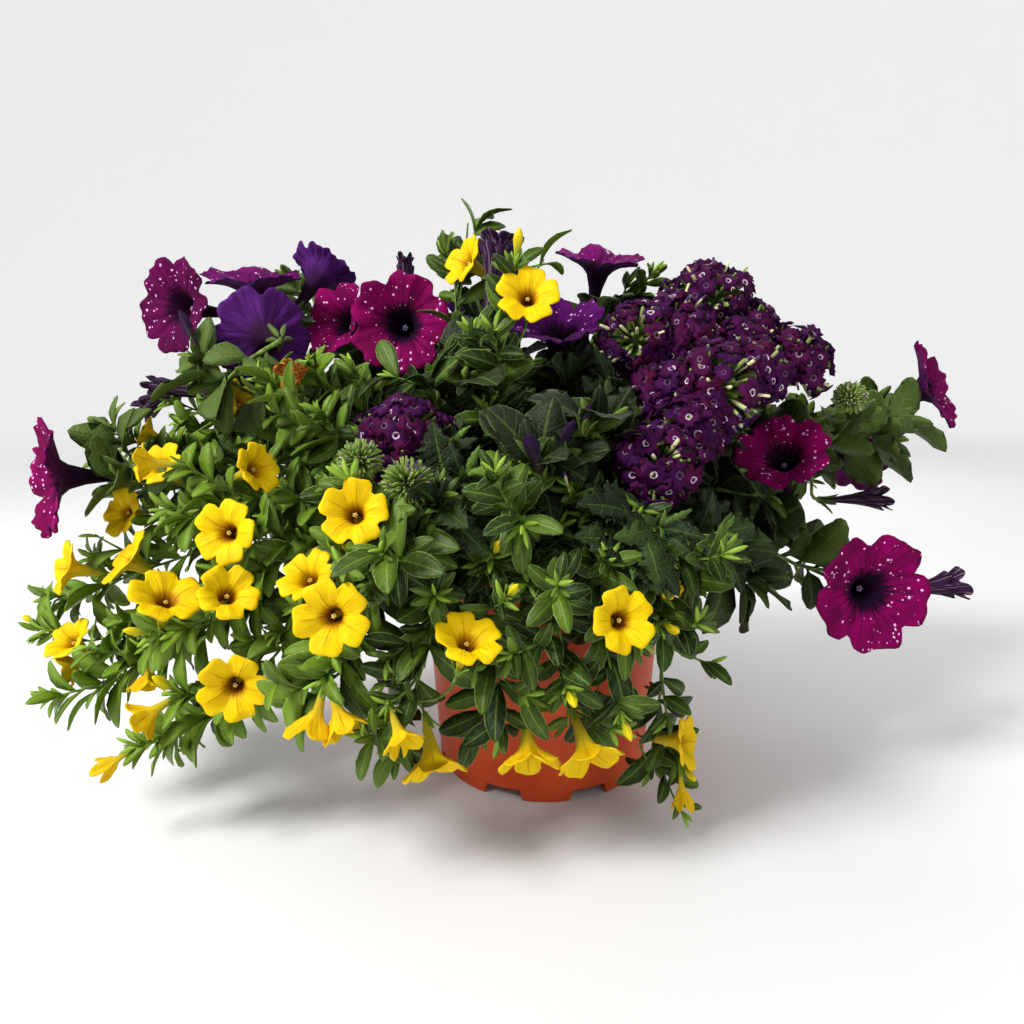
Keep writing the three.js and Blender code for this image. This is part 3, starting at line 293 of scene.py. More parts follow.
def finish_chain(points, touching, rings, order, leafy):
    """Turns a row of rings so that it starts at its socket, nearer the soil, and adds its two end
    points. A tip is one point past the last ring, a calyx's cup five and a ball's core three."""
    own = set().union(*(rings[index] for index in order))
    others = set().union(*rings) - own
    middles = [points[list(rings[index])].mean(axis=0) for index in order]
    ends = []
    for index, side in ((0, 1), (-1, -2)):
        close = around(touching, set(rings[order[index]]), leafy) - own
        if len(order) > 1:
            way = unit(middles[index] - middles[side])
            close = {point for point in close if (points[point] - middles[index]) @ way > -0.1 * MM}
        elif close & others:
            close = close & others if index == 0 else close - others
        ends.append(close)
    kinds = ["socket" if close & others else {1: "tip", 5: "cup", 3: "ball"}.get(len(close), "socket")
             for close in ends]
    reach = [np.linalg.norm(middle - MOUND_HEART) for middle in (middles[0], middles[-1])]
    if kinds[0] == "cup" or (kinds[1] != "cup" and reach[0] > reach[1]):
        order, middles, ends, kinds = order[::-1], middles[::-1], ends[::-1], kinds[::-1]
    radii = [np.linalg.norm(points[list(rings[index])] - middle, axis=1).mean()
             for index, middle in zip(order, middles)]
    start, end = [points[list(close)].mean(axis=0) if close else middle
                  for close, middle in ((ends[0], middles[0]), (ends[1], middles[-1]))]
    return {"way": np.array([start, *middles, end]), "radii": np.array([radii[0], *radii, radii[-1]]),
            "ends": kinds[1], "close": ends[1]}


def read_spent(points, touching, chain):
    """The wilted trumpet on a cup, if there is one: rings of 5, 15 and 5 points past the cup."""
    cup = set(chain["close"])
    stalk = {point for point in around(touching, cup, set())
             if np.linalg.norm(points[point] - chain["way"][-2]) < STALK_REACH}
    layers, known, ring = [], stalk | cup, cup
    for _ in range(3):
        ring = around(touching, ring, known)
        known |= ring
        layers.append(ring)
    if [len(layer) for layer in layers] != [5, 15, 5]:
        return None
    rim = points[list(layers[1])]
    foot = points[list(cup)].mean(axis=0)
    axis = rim.mean(axis=0) - foot
    length = np.linalg.norm(axis)
    axis /= length
    spread = np.linalg.norm(rim - foot - np.outer((rim - foot) @ axis, axis), axis=1).max()
    across, up = sides_of(axis, [0.3, 0.2, 1.0])
    return {"foot": foot, "axis": axis, "length": length, "across": across, "up": up,
            "radius": spread * 0.8, "bell": 0.7 * (spread * 0.8), "scale": 0.8, "notch": 0.4,
            "turns": np.array([0.0, 2.0, 4.0]), "waves": np.array([2.0, -3.0, 1.0]) * MM}


def read_bloom(name):
    """A bloom's foot, axis, width and rim from its solid. The foot and the throat's bottom are
    the points that five even points surround, and the rim's are the fifteen widest."""
    length = TRUMPETS[BLOOM_KINDS[name]]["length"]
    points, _, touching = solid_of(name)
    poles = []
    for index, close in enumerate(touching):
        if len(close) == 5:
            gaps = np.linalg.norm(points[list(close)] - points[index], axis=1)
            if np.ptp(gaps) < POLE_SPREAD:
                poles.append(points[index])
    middle = points.mean(axis=0)
    poles.sort(key=lambda pole: -np.linalg.norm(pole - middle))
    foot, bottom = poles[0], poles[-1]
    axis = unit(bottom - foot)
    arms = points - foot
    heights = arms @ axis
    radii = np.linalg.norm(arms - np.outer(heights, axis), axis=1)
    rim = np.argsort(radii)[-15:]
    across, up = (side[0] for side in square_to_upright(axis[None]))
    turns = np.arctan2(arms[rim] @ up, arms[rim] @ across)
    order = np.argsort(turns)
    rim, turns = rim[order], turns[order]
    notches = turns[radii[rim] < NOTCH * radii[rim].max()]
    return {"foot": foot, "axis": axis, "across": across, "up": up, "length": length,
            "turns": turns, "waves": heights[rim] - length, "radius": radii[rim].max(),
            "notch": notches[0] if len(notches) else turns[0]}


def read_florets(name):
    """The florets of a bunch, each with a middle point that ten rim points surround: their
    middles, the ways they face and their radii."""
    points, _, touching = solid_of(name)
    middles, outs, radii = [], [], []
    for index, close in enumerate(touching):
        if len(close) != 10:
            continue
        rim = points[list(close)]
        out = rim.mean(axis=0) - points[index]
        if np.ptp((rim - points[index]) @ unit(out)) > FLORET_SPREAD:
            continue
        middles.append(points[index])
        outs.append(unit(out))
        radii.append(np.linalg.norm(rim - rim.mean(axis=0), axis=1).max())
    return np.array(middles), np.array(outs), np.array(radii)


def read_dome(name):
    """The ball that a bunch's florets sit on: the point nearest to all their axes, its radius,
    the way the bunch faces and how far round it reaches."""
    middles, outs, _ = read_florets(name)
    across = np.eye(3)[None] - outs[:, :, None] * outs[:, None]
    centre = np.linalg.solve(across.sum(axis=0), np.einsum("nij,nj->i", across, middles))
    facing = unit(outs.mean(axis=0))
    return centre, np.linalg.norm(middles - centre, axis=1).mean(), facing, (outs @ facing).min()


# Surfaces

def add_object(name, data):
    """An object in the scene that shows a mesh, a lamp or a camera."""
    made = bpy.data.objects.new(name, data)
    bpy.context.collection.objects.link(made)
    return made


class Cloth:
    """Points, faces, UVs and traits of one piece as they are gathered. The UV map holds the place
    on each surface, and the traits are two more numbers a point, such as a leaf's age."""

    def __init__(self):
        self.points, self.faces, self.uvs, self.traits, self.slots = [], [], [], [], []
        self.count = 0

    def add(self, points, faces, uvs, traits, slot):
        """Adds points (n, 3) with sets of faces that count from 0, each as rows of three or four."""
        for rows in faces:
            self.faces.append(rows + self.count)
            self.slots.append(np.full(len(rows), slot))
        self.points.append(points)
        self.uvs.append(uvs)
        self.traits.append(traits)
        self.count += len(points)

    def piece(self, name, materials):
        """Makes the mesh object, with its faces smooth, and gives it back. Where a face spans the
        seam of a closed surface, its low turns go up by one."""
        points = np.vstack(self.points)
        sizes = np.concatenate([np.full(len(faces), faces.shape[1]) for faces in self.faces])
        corners = np.concatenate([faces.ravel() for faces in self.faces])
        starts = np.concatenate([[0], np.cumsum(sizes)[:-1]])
        mesh = bpy.data.meshes.new(name)
        mesh.vertices.add(len(points))
        mesh.vertices.foreach_set("co", points.ravel())
        mesh.loops.add(len(corners))
        mesh.loops.foreach_set("vertex_index", corners)
        mesh.polygons.add(len(sizes))
        mesh.polygons.foreach_set("loop_start", starts)
        mesh.polygons.foreach_set("material_index", np.concatenate(self.slots).astype(int))
        mesh.update(calc_edges=True)
        for layer, values in (("Place", self.uvs), ("Traits", self.traits)):
            table = np.vstack(values)[corners]
            span = np.maximum.reduceat(table[:, 1], starts) - np.minimum.reduceat(table[:, 1], starts)
            table[:, 1] += (np.repeat(span, sizes) > 0.6) & (table[:, 1] < 0.4)
            mesh.uv_layers.new(name=layer).uv.foreach_set("vector", table.ravel())
        mesh.polygons.foreach_set("use_smooth", np.ones(len(sizes), bool))
        mesh.validate()
        for material in materials:
            mesh.materials.append(material)
        return add_object(name, mesh)


def tube_faces(rings, sides):
    """The quads of a surface of rings, each joined to the next and closed round its sides."""
    row, side = np.meshgrid(np.arange(rings - 1), np.arange(sides), indexing="ij")
    following = (side + 1) % sides
    quads = np.stack([row * sides + side, row * sides + following,
                      (row + 1) * sides + following, (row + 1) * sides + side], axis=-1)
    return quads.reshape(-1, 4)


def cap_faces(ring_start, sides, pole, outward):
    """The triangles that close a ring at a pole, in the ring's turn where they face outward."""
    side = np.arange(sides)
    following = (side + 1) % sides
    fan = np.stack([ring_start + side, ring_start + following, np.full(sides, pole)], axis=-1)
    return fan if outward else fan[:, ::-1]


def place_grid(rows, columns):
    """The UV place of each point of a grid: its row's number and its column's."""
    return np.stack(np.meshgrid(rows, columns, indexing="ij"), axis=-1)


def add_tubes(cloth, grids, poles, uvs, traits, slot):
    """Adds closed tubes: grids (n, rings, sides, 3) that turn anticlockwise about their way, and
    poles (n, 2, 3) at their two ends."""
    count, rings, sides, _ = grids.shape
    last = rings * sides
    points = np.concatenate([grids.reshape(count, -1, 3), poles], axis=1)
    grid_places = np.broadcast_to(uvs, (count, rings, sides, 2)).reshape(count, -1, 2)
    pole_places = np.broadcast_to([[0, 0.5], [1, 0.5]], (count, 2, 2))
    places = np.concatenate([grid_places, pole_places], axis=1)
    marks = np.repeat(traits[:, None], last + 2, axis=1)
    shape = [tube_faces(rings, sides), cap_faces(0, sides, last, False),
             cap_faces(last - sides, sides, last + 1, True)]
    steps = (last + 2) * np.arange(count)[:, None, None]
    faces = [(rows[None] + steps).reshape(-1, rows.shape[1]) for rows in shape]
    cloth.add(points.reshape(-1, 3), faces, places.reshape(-1, 2), marks.reshape(-1, 2), slot)


def add_stem(cloth, spots, tangents, radii, traits, slot, sides=6):
    """A round tube along a way: rings square to it, whose radii follow it."""
    spread = np.linalg.svd(tangents, full_matrices=False)[2][-1]
    across, up = square_to(tangents, spread)
    turn = circle(sides)
    ring = turned(across[:, None], up[:, None], turn[:, None])
    grid = spots[:, None] + ring * radii[:, None, None]
    poles = np.stack([spots[0] - tangents[0] * radii[0] * 0.4,
                      spots[-1] + tangents[-1] * radii[-1] * 0.6])
    uvs = place_grid(np.linspace(0, 1, len(spots)), turn / FULL_TURN)
    add_tubes(cloth, grid[None], poles[None], uvs, np.array([traits]), slot)


def add_stalk(cloth, root, sag, end, spacing, radii, slot, sides=6):
    """A stem from a root to an end that sags halfway, with radii (mm) at the two. Gives its
    points and their tangents."""
    line, heading = smooth_way(np.array([root, (root + end) / 2 + sag, end]), spacing)
    add_stem(cloth, line, heading, np.linspace(*radii, len(line)) * MM, [0.5, 0.6], slot, sides)
    return line, heading


def add_blades(cloth, spines, ups, halves, kind, traits, slot, seed):
    """Leaves as thin closed blades. A spine is a parabola a + b t + c t t; square to it, the
    blade reaches the half width times the kind's outline at t, folds up towards its edges,
    sinks at its midrib and side veins and waves along its edges, and is thin at the edges."""
    rng = np.random.default_rng(seed)
    t = kind["steps"][None, :, None]
    spine = spines[:, None, 0] + spines[:, None, 1] * t + spines[:, None, 2] * t * t
    along = unit(spines[:, None, 1] + 2 * spines[:, None, 2] * t)
    across, up = square_to(along, np.broadcast_to(ups[:, None], along.shape))
    v = np.linspace(1, -1, kind["across"])
    over = np.concatenate([v, v[-2:0:-1]])
    width = kind["outline"](kind["steps"])
    half = halves[:, None, None]
    part = width[None, :, None]
    shrink = np.minimum(1, width * 1.6)[None, :, None]
    edge = np.abs(over) ** 1.4
    fold = kind["fold"] * half * part * edge[None, None, :]
    phase = rng.uniform(0, FULL_TURN, (len(spines), 1, 1))
    wave = kind["wave"] * np.sin(kind["waves"] * FULL_TURN * t + phase + 1.3 * np.sign(over)) * edge ** 2
    veins = np.cos(FULL_TURN * (kind["veins"] * kind["steps"][:, None] - 1.1 * np.abs(over)[None]))
    relief = kind["relief"] * (veins * np.sqrt(np.abs(over)) - 1.6 * np.exp(-(over / 0.14) ** 2))
    top = np.arange(len(over)) < len(v)
    thick = np.where(top, 0.5, -0.5) * kind["thick"] * (1.05 - np.abs(over) ** 3)
    lift = fold + wave * half * shrink + relief[None] * shrink * half + thick
    reach = half * part * over[None, None, :]
    grid = (spine[:, :, None] + across[:, :, None] * reach[..., None]
            + up[:, :, None] * lift[..., None])
    poles = np.stack([spine[:, 0], spines.sum(axis=1)], axis=1)
    add_tubes(cloth, grid, poles, place_grid(kind["steps"], 0.5 + 0.5 * over), traits, slot)


def rounded(t, widest, tip):
    """A leaf's width along it: a quarter wave up to its widest place, then a quarter ellipse."""
    rise = np.sin(np.pi / 2 * np.clip(t / widest, 0, 1)) ** 0.95
    fall = np.sqrt(np.clip(1 - (np.clip(t - widest, 0, 1) / (1 - widest)) ** 2, 0, 1)) ** tip
    return np.where(t < widest, rise, fall)


def oblong(t):
    """A spoon-shaped leaf: a slim foot, widest past the middle, with a blunt tip."""
    return np.maximum(0.14 * (1 - t), rounded(t, 0.56, 1.3))


def ovate(t):
    """A broad leaf: a short stalk, widest before the middle, with a rounded point."""
    return np.maximum(0.1 * (1 - t), rounded(np.clip((t - 0.1) / 0.9, 0, 1), 0.44, 1.25))


def toothed(teeth):
    """A lance-shaped leaf with saw teeth, each of which rises slowly and drops back: its width as
    a function of the place along it, and the places to take it at, two on its stalk and two in
    each tooth."""
    def width(t):
        s = np.clip((t - 0.12) / 0.88, 0, 1)
        nicks = 1 - 0.28 * ((s * teeth) % 1 < 0.25) * (s < 0.93)
        return np.maximum(0.13 * (1 - t), np.sin(np.pi * s ** 0.8) ** 0.8 * nicks)

    tooth = (np.repeat(np.arange(teeth), 2) + np.tile([0.1, 0.6], teeth)) / teeth
    return {"outline": width, "steps": np.concatenate([[0, 0.1], 0.12 + 0.88 * tooth])}


# Each plant's leaf: its rows, outline, fold, waves, veins and thickness as add_blades reads them,
# its full length and width, where the solid leaf has its rings as parts of that length and how
# deep its keel is, and what is plainer in the many leaves that are added
LEAVES = {
    "calibrachoa": {"steps": np.array([0, 0.1, 0.25, 0.42, 0.58, 0.74, 0.88, 0.96]), "across": 5,
                    "outline": oblong, "fold": 0.26, "wave": 0.05, "waves": 1.0, "veins": 3.0,
                    "relief": 0.03, "thick": 0.7 * MM, "length": 25 * MM, "width": 10.5 * MM,
                    "rings": [0.4, 0.76], "keel": 1.2 * MM,
                    "plain": {"steps": np.array([0, 0.16, 0.38, 0.62, 0.84, 0.965]), "across": 3}},
    "petunia": {"steps": np.array([0, 0.1, 0.18, 0.28, 0.4, 0.52, 0.64, 0.76, 0.87, 0.95]),
                "across": 7, "outline": ovate, "fold": 0.18, "wave": 0.08, "waves": 2.0,
                "veins": 4.0, "relief": 0.035, "thick": 0.8 * MM, "length": 42 * MM,
                "width": 26 * MM, "rings": [0.16, 0.48, 0.78], "keel": 1.3 * MM,
                "plain": {"steps": np.array([0, 0.13, 0.28, 0.5, 0.72, 0.92]), "across": 3}},
    "verbena": {"across": 5, "fold": 0.2, "wave": 0.14, "waves": 3.0, "veins": 9.0, "relief": 0.1,
                "thick": 0.7 * MM, "length": 34 * MM, "width": 19 * MM,
                "rings": [0.14, 0.42, 0.52, 0.7, 0.79], "keel": 1.2 * MM, **toothed(9),
                "plain": {"across": 3, **toothed(5)}},
}
WIDEST_RING = 1

# How each plant grows (mm): its stems' radii as a share of the solid's, leaves in its tufts, the
# gap between its sprigs and their least and greatest length, the share of them that end in a bud,
# and for stems and sprigs the bare foot, the leaves' spacing and their share of a full leaf
GROWTH = {
    "calibrachoa": {"girth": 0.72, "tuft": 9, "gap": 15, "sprigs": (16, 34), "buds": 0.22,
                    "stem": (12, 4.6, 0.85), "sprig": (2, 3.6, 0.66)},
    "petunia": {"girth": 0.85, "tuft": 8, "gap": 38, "sprigs": (12, 26), "buds": 0.25,
                "stem": (14, 9, 0.68), "sprig": (2, 4.5, 0.55)},
    "verbena": {"girth": 0.8, "tuft": 6, "gap": 24, "sprigs": (14, 30), "buds": 0.0,
                "stem": (14, 7, 0.8), "sprig": (2, 5, 0.6)},
}

# A tuft's depth below its tip, its leaves' share of a full leaf, and the youth from which a leaf
# counts as young, where 1 is the youngest
TUFT_DEPTH = 5 * MM
TUFT_SIZE = 0.5
YOUNG = 0.55

# A calyx's length, how far behind the bloom's foot it starts and how far from the axis (mm), how
# far it leans out (degrees) and half its sepals' width (mm)
CALYXES = {"petunia": (12.5, 3, 1.6, 16, 1.5), "calibrachoa": (8, 1.5, 0.9, 14, 1.1)}
CALYXES["verbena"] = CALYXES["calibrachoa"]

# A verbena head in bud: how many needles stand out of it, and how far its ball reaches past the
# stalk's end
NEEDLES = 260
BALL_REACH = 26 * MM

# Where leaves may stand: how far past the plant's box, how far above the foot of that, and how far
# off the pot's wall. None stands in front of a bloom or head that lies up to this far back
BOX_MARGIN = 2 * MM
FLOOR_GAP = 5 * MM
POT_GAP = 3 * MM
FRONT_DEPTH = 20 * MM

# In front of the pot, this far to each side and below this height, only a share of leaves is added
BY_POT = {"side": 85 * MM, "height": 108 * MM, "share": 0.6}

# The mound's half sizes, how much a painted sunlight lightens its leaves at places across it (mm),
# and the height below which no bloom hangs
MOUND_SIZE = np.array([250, 140, 175]) * MM
PAINTED_SUN = ([-190, -110, -60, 60, 150], [0.8, 0.4, 0, 0.05, 0.5])
LOWEST_BLOOM = 28 * MM


# Plants

def leaf_spines(points, leaves, kind):
    """The parabola nearest to each solid leaf's root, rings and tip, its up direction and its
    half width."""
    spines, ups, halves = [], [], []
    parts = np.array([0, *LEAVES[kind]["rings"], 1])
    powers = np.linalg.pinv(np.stack([np.ones_like(parts), parts, parts ** 2], axis=1))
    for tip, rings, corners in leaves:
        centres, rises = [], []
        for index, ring in enumerate(reversed(rings)):
            a, b, c = points[list(ring)]
            sides = ((b, c, a), (a, c, b), (a, b, c))
            span = [np.linalg.norm(p - q) for p, q, _ in sides]
            left, right, bottom = sides[int(np.argmax(span))]
            rise = unit((left + right) / 2 - bottom)
            centres.append(bottom + rise * LEAVES[kind]["keel"])
            rises.append(rise)
            if index == WIDEST_RING:
                halves.append(max(span) / 2)
        spots = np.array([points[list(corners)].mean(axis=0), *centres, points[tip]])
        spines.append(powers @ spots)
        ups.append(unit(np.mean(rises, axis=0)))
    return np.array(spines), np.array(ups), np.array(halves)


def extra_spines(roots, tangents, outs, opens, lengths, rng):
    """Leaves that the solids leave out: each leaves its stem at an angle, rises a little, droops
    towards its tip and faces outwards, upwards and to the front or back."""
    directions = unit(tangents * np.cos(opens)[:, None] + outs * np.sin(opens)[:, None])
    outward = unit((roots - MOUND_HEART) * [1, 1, 0])
    side = np.where(roots[:, 1:2] < 40 * MM, -1, 1) * np.array([0, 0.75, 0])
    ups = unit(outward * 0.55 + side + [0, 0, 0.4] + rng.normal(0, 0.16, roots.shape))
    _, lift = square_to(directions, ups)
    span = lengths[:, None]
    bend = lift * span * rng.uniform(0.6, 1.4, (len(roots), 1)) * 0.5
    return np.stack([roots, directions * span + 0.7 * bend, -bend], axis=1), ups


def ring_way(tangents, rng):
    """Directions square to stems, each turned by the golden angle past the one before."""
    turn = (GOLDEN_TURN * np.arange(len(tangents)) + rng.uniform(*ANY_TURN))[:, None]
    return turned(*square_to_upright(tangents), turn)


def grow_plant(name, kind, seed):
    """One plant again: its stems as round tubes through the solid's rings, its leaves where the
    solid has them, more leaves and leafy sprigs between, a tuft of young leaves at each tip, and
    its calyxes. Gives the cloth and the wilted trumpets that it carries."""
    points, faces, touching = solid_of(name)
    leaves = read_leaves(points, touching, len(LEAVES[kind]["rings"]))
    leafy = {point for tip, rings, _ in leaves for point in {tip}.union(*rings)}
    chains = read_chains(points, touching, faces, leafy)
    rng = np.random.default_rng(seed)
    cloth, blades, spent = Cloth(), [], []
    spines, ups, halves = leaf_spines(points, leaves, kind)
    # The first trait is each leaf's painted light: painted shade deep in the mound, painted sunlight at its
    # surface and sides
    traits = np.stack([painted_leaf_light(spines[:, 0], rng), rng.uniform(0, 0.3, len(spines))], axis=1)
    add_blades(cloth, spines, ups, halves * 0.98, LEAVES[kind], traits, 0, seed)
    for chain in chains:
        spots, tangents = smooth_way(chain["way"], 4 * MM)
        STEM_SPOTS[name].append(spots)
        run, knots = run_of(spots), run_of(chain["way"])
        radii = np.interp(run / run[-1], knots / knots[-1], chain["radii"]) * GROWTH[kind]["girth"]
        add_stem(cloth, spots, tangents, radii, [rng.uniform(), 0.5], 1)
        if chain["ends"] == "cup":
            wilted = read_spent(points, touching, chain)
            if wilted:
                spent.append(wilted)
            add_calyx(cloth, spots[-1], tangents[-1], kind, rng)
        elif chain["ends"] == "ball" and kind == "verbena":
            add_ball(cloth, points, touching, chain, rng)
        else:
            blades.append(leafage(spots, tangents, kind, "stem", rng))
            blades += sprigs(cloth, spots, tangents, run, kind, rng)
    add_extra_leaves(cloth, blades, kind, rng)
    return cloth, spent


def leafage(spots, tangents, kind, part, rng):
    """Leaves along a stem or sprig by the golden angle, with a dense tuft of young bright ones at
    its tip. Gives their roots, stem directions, outward directions, angles, lengths and youth."""
    run = run_of(spots)
    bare, spacing, size = GROWTH[kind][part]
    places = np.arange(bare * MM, run[-1] - 1.5 * MM, spacing * MM)
    places = places + rng.uniform(-0.3, 0.3, len(places)) * (spacing * MM)
    tuft = run[-1] - np.linspace(0, TUFT_DEPTH, GROWTH[kind]["tuft"])
    young = np.concatenate([0.5 * np.clip(places / run[-1] - 0.5, 0, 1) * (part == "sprig"),
                            np.linspace(1, 0.6, len(tuft))])
    places = np.concatenate([places, tuft])
    ways = unit(along_line(places, run, tangents))
    in_tuft = young > YOUNG
    opens = np.radians(np.where(in_tuft, 78 - 46 * young, 56) + rng.uniform(-14, 14, len(places)))
    lengths = LEAVES[kind]["length"] * np.where(in_tuft, TUFT_SIZE * (1.6 - 0.9 * young), size)
    lengths = lengths * rng.uniform(0.75, 1.3, len(places))
    return along_line(places, run, spots), ways, ring_way(ways, rng), opens, lengths, young


def sprigs(cloth, spots, tangents, run, kind, rng):
    """Short side shoots: each leaves its stem outwards, bends up towards the light and carries
    leaves as the stem does. Adds their stems and gives their leaves."""
    facts = GROWTH[kind]
    gap = facts["gap"] * MM
    places = np.arange(facts["stem"][0] * MM + 6 * MM, run[-1] - 8 * MM, gap)
    places = places + rng.uniform(-0.4, 0.4, len(places)) * gap
    grown = []
    for place in np.clip(places, 0, run[-1]):
        root = along_line(place, run, spots)
        way = unit(along_line(place, run, tangents))
        outward = unit(root - MOUND_HEART) + rng.normal(0, 0.55, 3)
        lead = unit(way * 0.7 + unit(outward))
        length = rng.uniform(*(each * MM for each in facts["sprigs"]))
        rise = np.array([0, 0, rng.uniform(0.0, 0.5)]) * length
        t = np.linspace(0, 1, 6)[:, None]
        line = root + lead * length * t + rise * t * t
        if not clear(line[2:]).all():
            continue
        heading = unit(lead * length + 2 * rise * t)
        add_stem(cloth, line, heading, np.linspace(0.8, 0.5, 6) * MM, [rng.uniform(), 0.6], 1, sides=5)
        grown.append(leafage(line, heading, kind, "sprig", rng))
        SPRIG_TIPS[kind].append(line[-1])
        if rng.uniform() < facts["buds"]:
            add_bud(cloth, line[-1], heading[-1], kind, rng)
    return grown


def add_bud(cloth, foot, way, kind, rng, plump=1.0, grown=1.0):
    """A furled bud: rings along its way, thickest past the middle, in five ridges that twist."""
    length, slim = {"calibrachoa": (15 * MM, 0.12), "petunia": (26 * MM, 0.085)}[kind]
    size = length * rng.uniform(0.75, 1.15) * grown
    way = unit(way + rng.normal(0, 0.2, 3) + [0, 0, 0.2])
    if not clear((foot + way * size)[None])[0]:
        return
    t = np.array([0, 0.2, 0.45, 0.65, 0.82, 0.95])[:, None]
    girth = plump * size * slim * np.array([0.45, 0.5, 0.72, 1.0, 0.9, 0.4])[:, None]
    turn = circle(10)[None]
    girth = girth * (1 + 0.2 * np.cos(5 * turn) * (t > 0.3))
    ring = turned(*sides_of(way, [0.3, 1.0, 0.2]), (turn + 0.9 * t)[..., None])
    grid = foot + way * (size * t)[..., None] + ring * girth[..., None]
    poles = np.stack([foot, foot + way * size])[None]
    traits = np.array([[rng.uniform(), 0.5]])
    add_tubes(cloth, grid[None], poles, place_grid(t[:, 0], turn[0] / FULL_TURN), traits, 2)
    add_calyx(cloth, foot + way * 1.5 * MM, way, kind, rng, 0.75)


def nearest_tip(kind, across, down):
    """The sprig tip that lies nearest to a place in the picture, those at the front first, and
    high enough for a bloom to hang from it."""
    spots = np.array(SPRIG_TIPS[kind])
    spots = spots[spots[:, 2] > LOWEST_BLOOM]
    off = np.linalg.norm(seen(spots) - [across, down], axis=1)
    return spots[np.argmin(off + 60 * (spots[:, 1] - EYE[1]))]


def front_leaf(across, down):
    """The middle of the frontmost added leaf that shows within 12 pixels of a place in the
    picture."""
    spots = np.vstack(LEAF_MIDDLES)
    off = np.linalg.norm(seen(spots) - [across, down], axis=1)
    return min(spots[off < 12], key=lambda spot: spot[1])


def stem_near(spot, names=PLANTS):
    """The point of these plants' stems that lies nearest to a spot."""
    spots = np.vstack([line for name in names for line in STEM_SPOTS[name]])
    return spots[np.argmin(np.linalg.norm(spots - spot, axis=1))]


def add_extra_leaves(cloth, blades, kind, rng):
    """Adds the leaves that the solids leave out, apart from those that would stand in front of a
    bloom, in the pot or outside the whole plant's box."""
    near, ways, outs, opens, lengths, young = (np.concatenate(column) for column in zip(*blades))
    spines, ups = extra_spines(near, ways, outs, opens, lengths, rng)
    free = np.ones(len(spines), bool)
    for t in (0.35, 0.7, 1.0):
        free &= clear(spines[:, 0] + spines[:, 1] * t + spines[:, 2] * t * t)
    by_pot = (near[:, 2] < BY_POT["height"]) & (np.abs(near[:, 0]) < BY_POT["side"]) & (near[:, 1] < 0)
    free &= ~by_pot | (rng.uniform(0, 1, len(near)) < BY_POT["share"])
    spines, ups, lengths, young = spines[free], ups[free], lengths[free], young[free]
    LEAF_MIDDLES.append(spines[:, 0] + spines[:, 1] * 0.5 + spines[:, 2] * 0.25)
    shape = LEAVES[kind]
    halves = lengths * shape["width"] / shape["length"] / 2 * rng.uniform(0.85, 1.15, len(spines))
    halves *= 1 - 0.5 * young
    # Each leaf's painted light: painted shade deep in the mound, painted sunlight at its surface and sides
    painted_light = painted_leaf_light(spines[:, 0], rng)
    fresh = 0.2 * rng.uniform(0, 1, len(spines)) * (young < YOUNG) + np.clip(2 * young - 1.1, 0, 1)
    add_blades(cloth, spines, ups, halves, dict(shape, **shape["plain"]),
               np.stack([painted_light, fresh], axis=1), 0, int(rng.integers(1 << 30)))


def painted_leaf_light(roots, rng):
    """How much painted light each leaf gets, from 0 to 1: painted shade deep in the mound, painted
    light at its surface, which is an ellipsoid about its heart, and painted sunlight, lightest at its two
    sides, with a little at random."""
    depth = np.linalg.norm((roots - MOUND_HEART) / MOUND_SIZE, axis=1)
    painted_sun = np.interp(roots[:, 0] / MM, *PAINTED_SUN)
    return np.clip(0.95 * depth - 0.55 + painted_sun + rng.uniform(-0.25, 0.25, len(roots)), 0, 1)


def clear(spots):
    """Whether each point may hold a leaf: inside the plant's box, below its top in the picture,
    outside the pot, and neither in a bloom, straight in front of one, nor in a verbena head."""
    low, high = np.array(CAD_BOX[0]) - BOX_MARGIN, np.array(CAD_BOX[1]) + BOX_MARGIN
    free = ((spots > low + [0, 0, FLOOR_GAP]) & (spots < high)).all(axis=1)
    free &= seen(spots)[:, 1] > TOP_ROW
    level = np.hypot(spots[:, 0], spots[:, 1])
    beside_pot = level > pot_radius(spots[:, 2] / MM) * MM + POT_GAP
    free &= beside_pot | (spots[:, 2] > (POT["height"] + 1) * MM)
    sight = spots - EYE
    for bloom in BLOOMS.values():
        arms = spots - bloom["foot"]
        height = arms @ bloom["axis"] / bloom["length"]
        off = np.linalg.norm(arms - np.outer(arms @ bloom["axis"], bloom["axis"]), axis=1) / bloom["radius"]
        free &= ~((height > 0.35) & (height < 2.1) & (off < np.clip(height * 1.1 - 0.2, 0.2, 0.98)))
        middle, face = bloom["foot"] + bloom["axis"] * bloom["length"], bloom.get("face", bloom["axis"])
        if middle[1] < FRONT_DEPTH:
            away = (middle - EYE) @ face
            along = away / (sight @ face)
            landed = EYE + sight * along[:, None] - middle
            from_behind = (away > 0) & (landed[:, 2] < -0.2 * bloom["radius"])
            off = np.linalg.norm(landed, axis=1)
            free &= (along < 1) | (off > bloom["radius"] * 0.92) | from_behind
    for centre, radius, _, _ in DOMES.values():
        free &= np.linalg.norm(spots - centre, axis=1) > radius * 0.96
        gap = np.linalg.norm(centre - EYE)
        close = np.linalg.norm(sight, axis=1) < gap
        over = unit(sight) @ unit(centre - EYE) > math.cos(radius * 0.8 / gap)
        free &= ~(close & over & (centre[1] < FRONT_DEPTH))
    return free


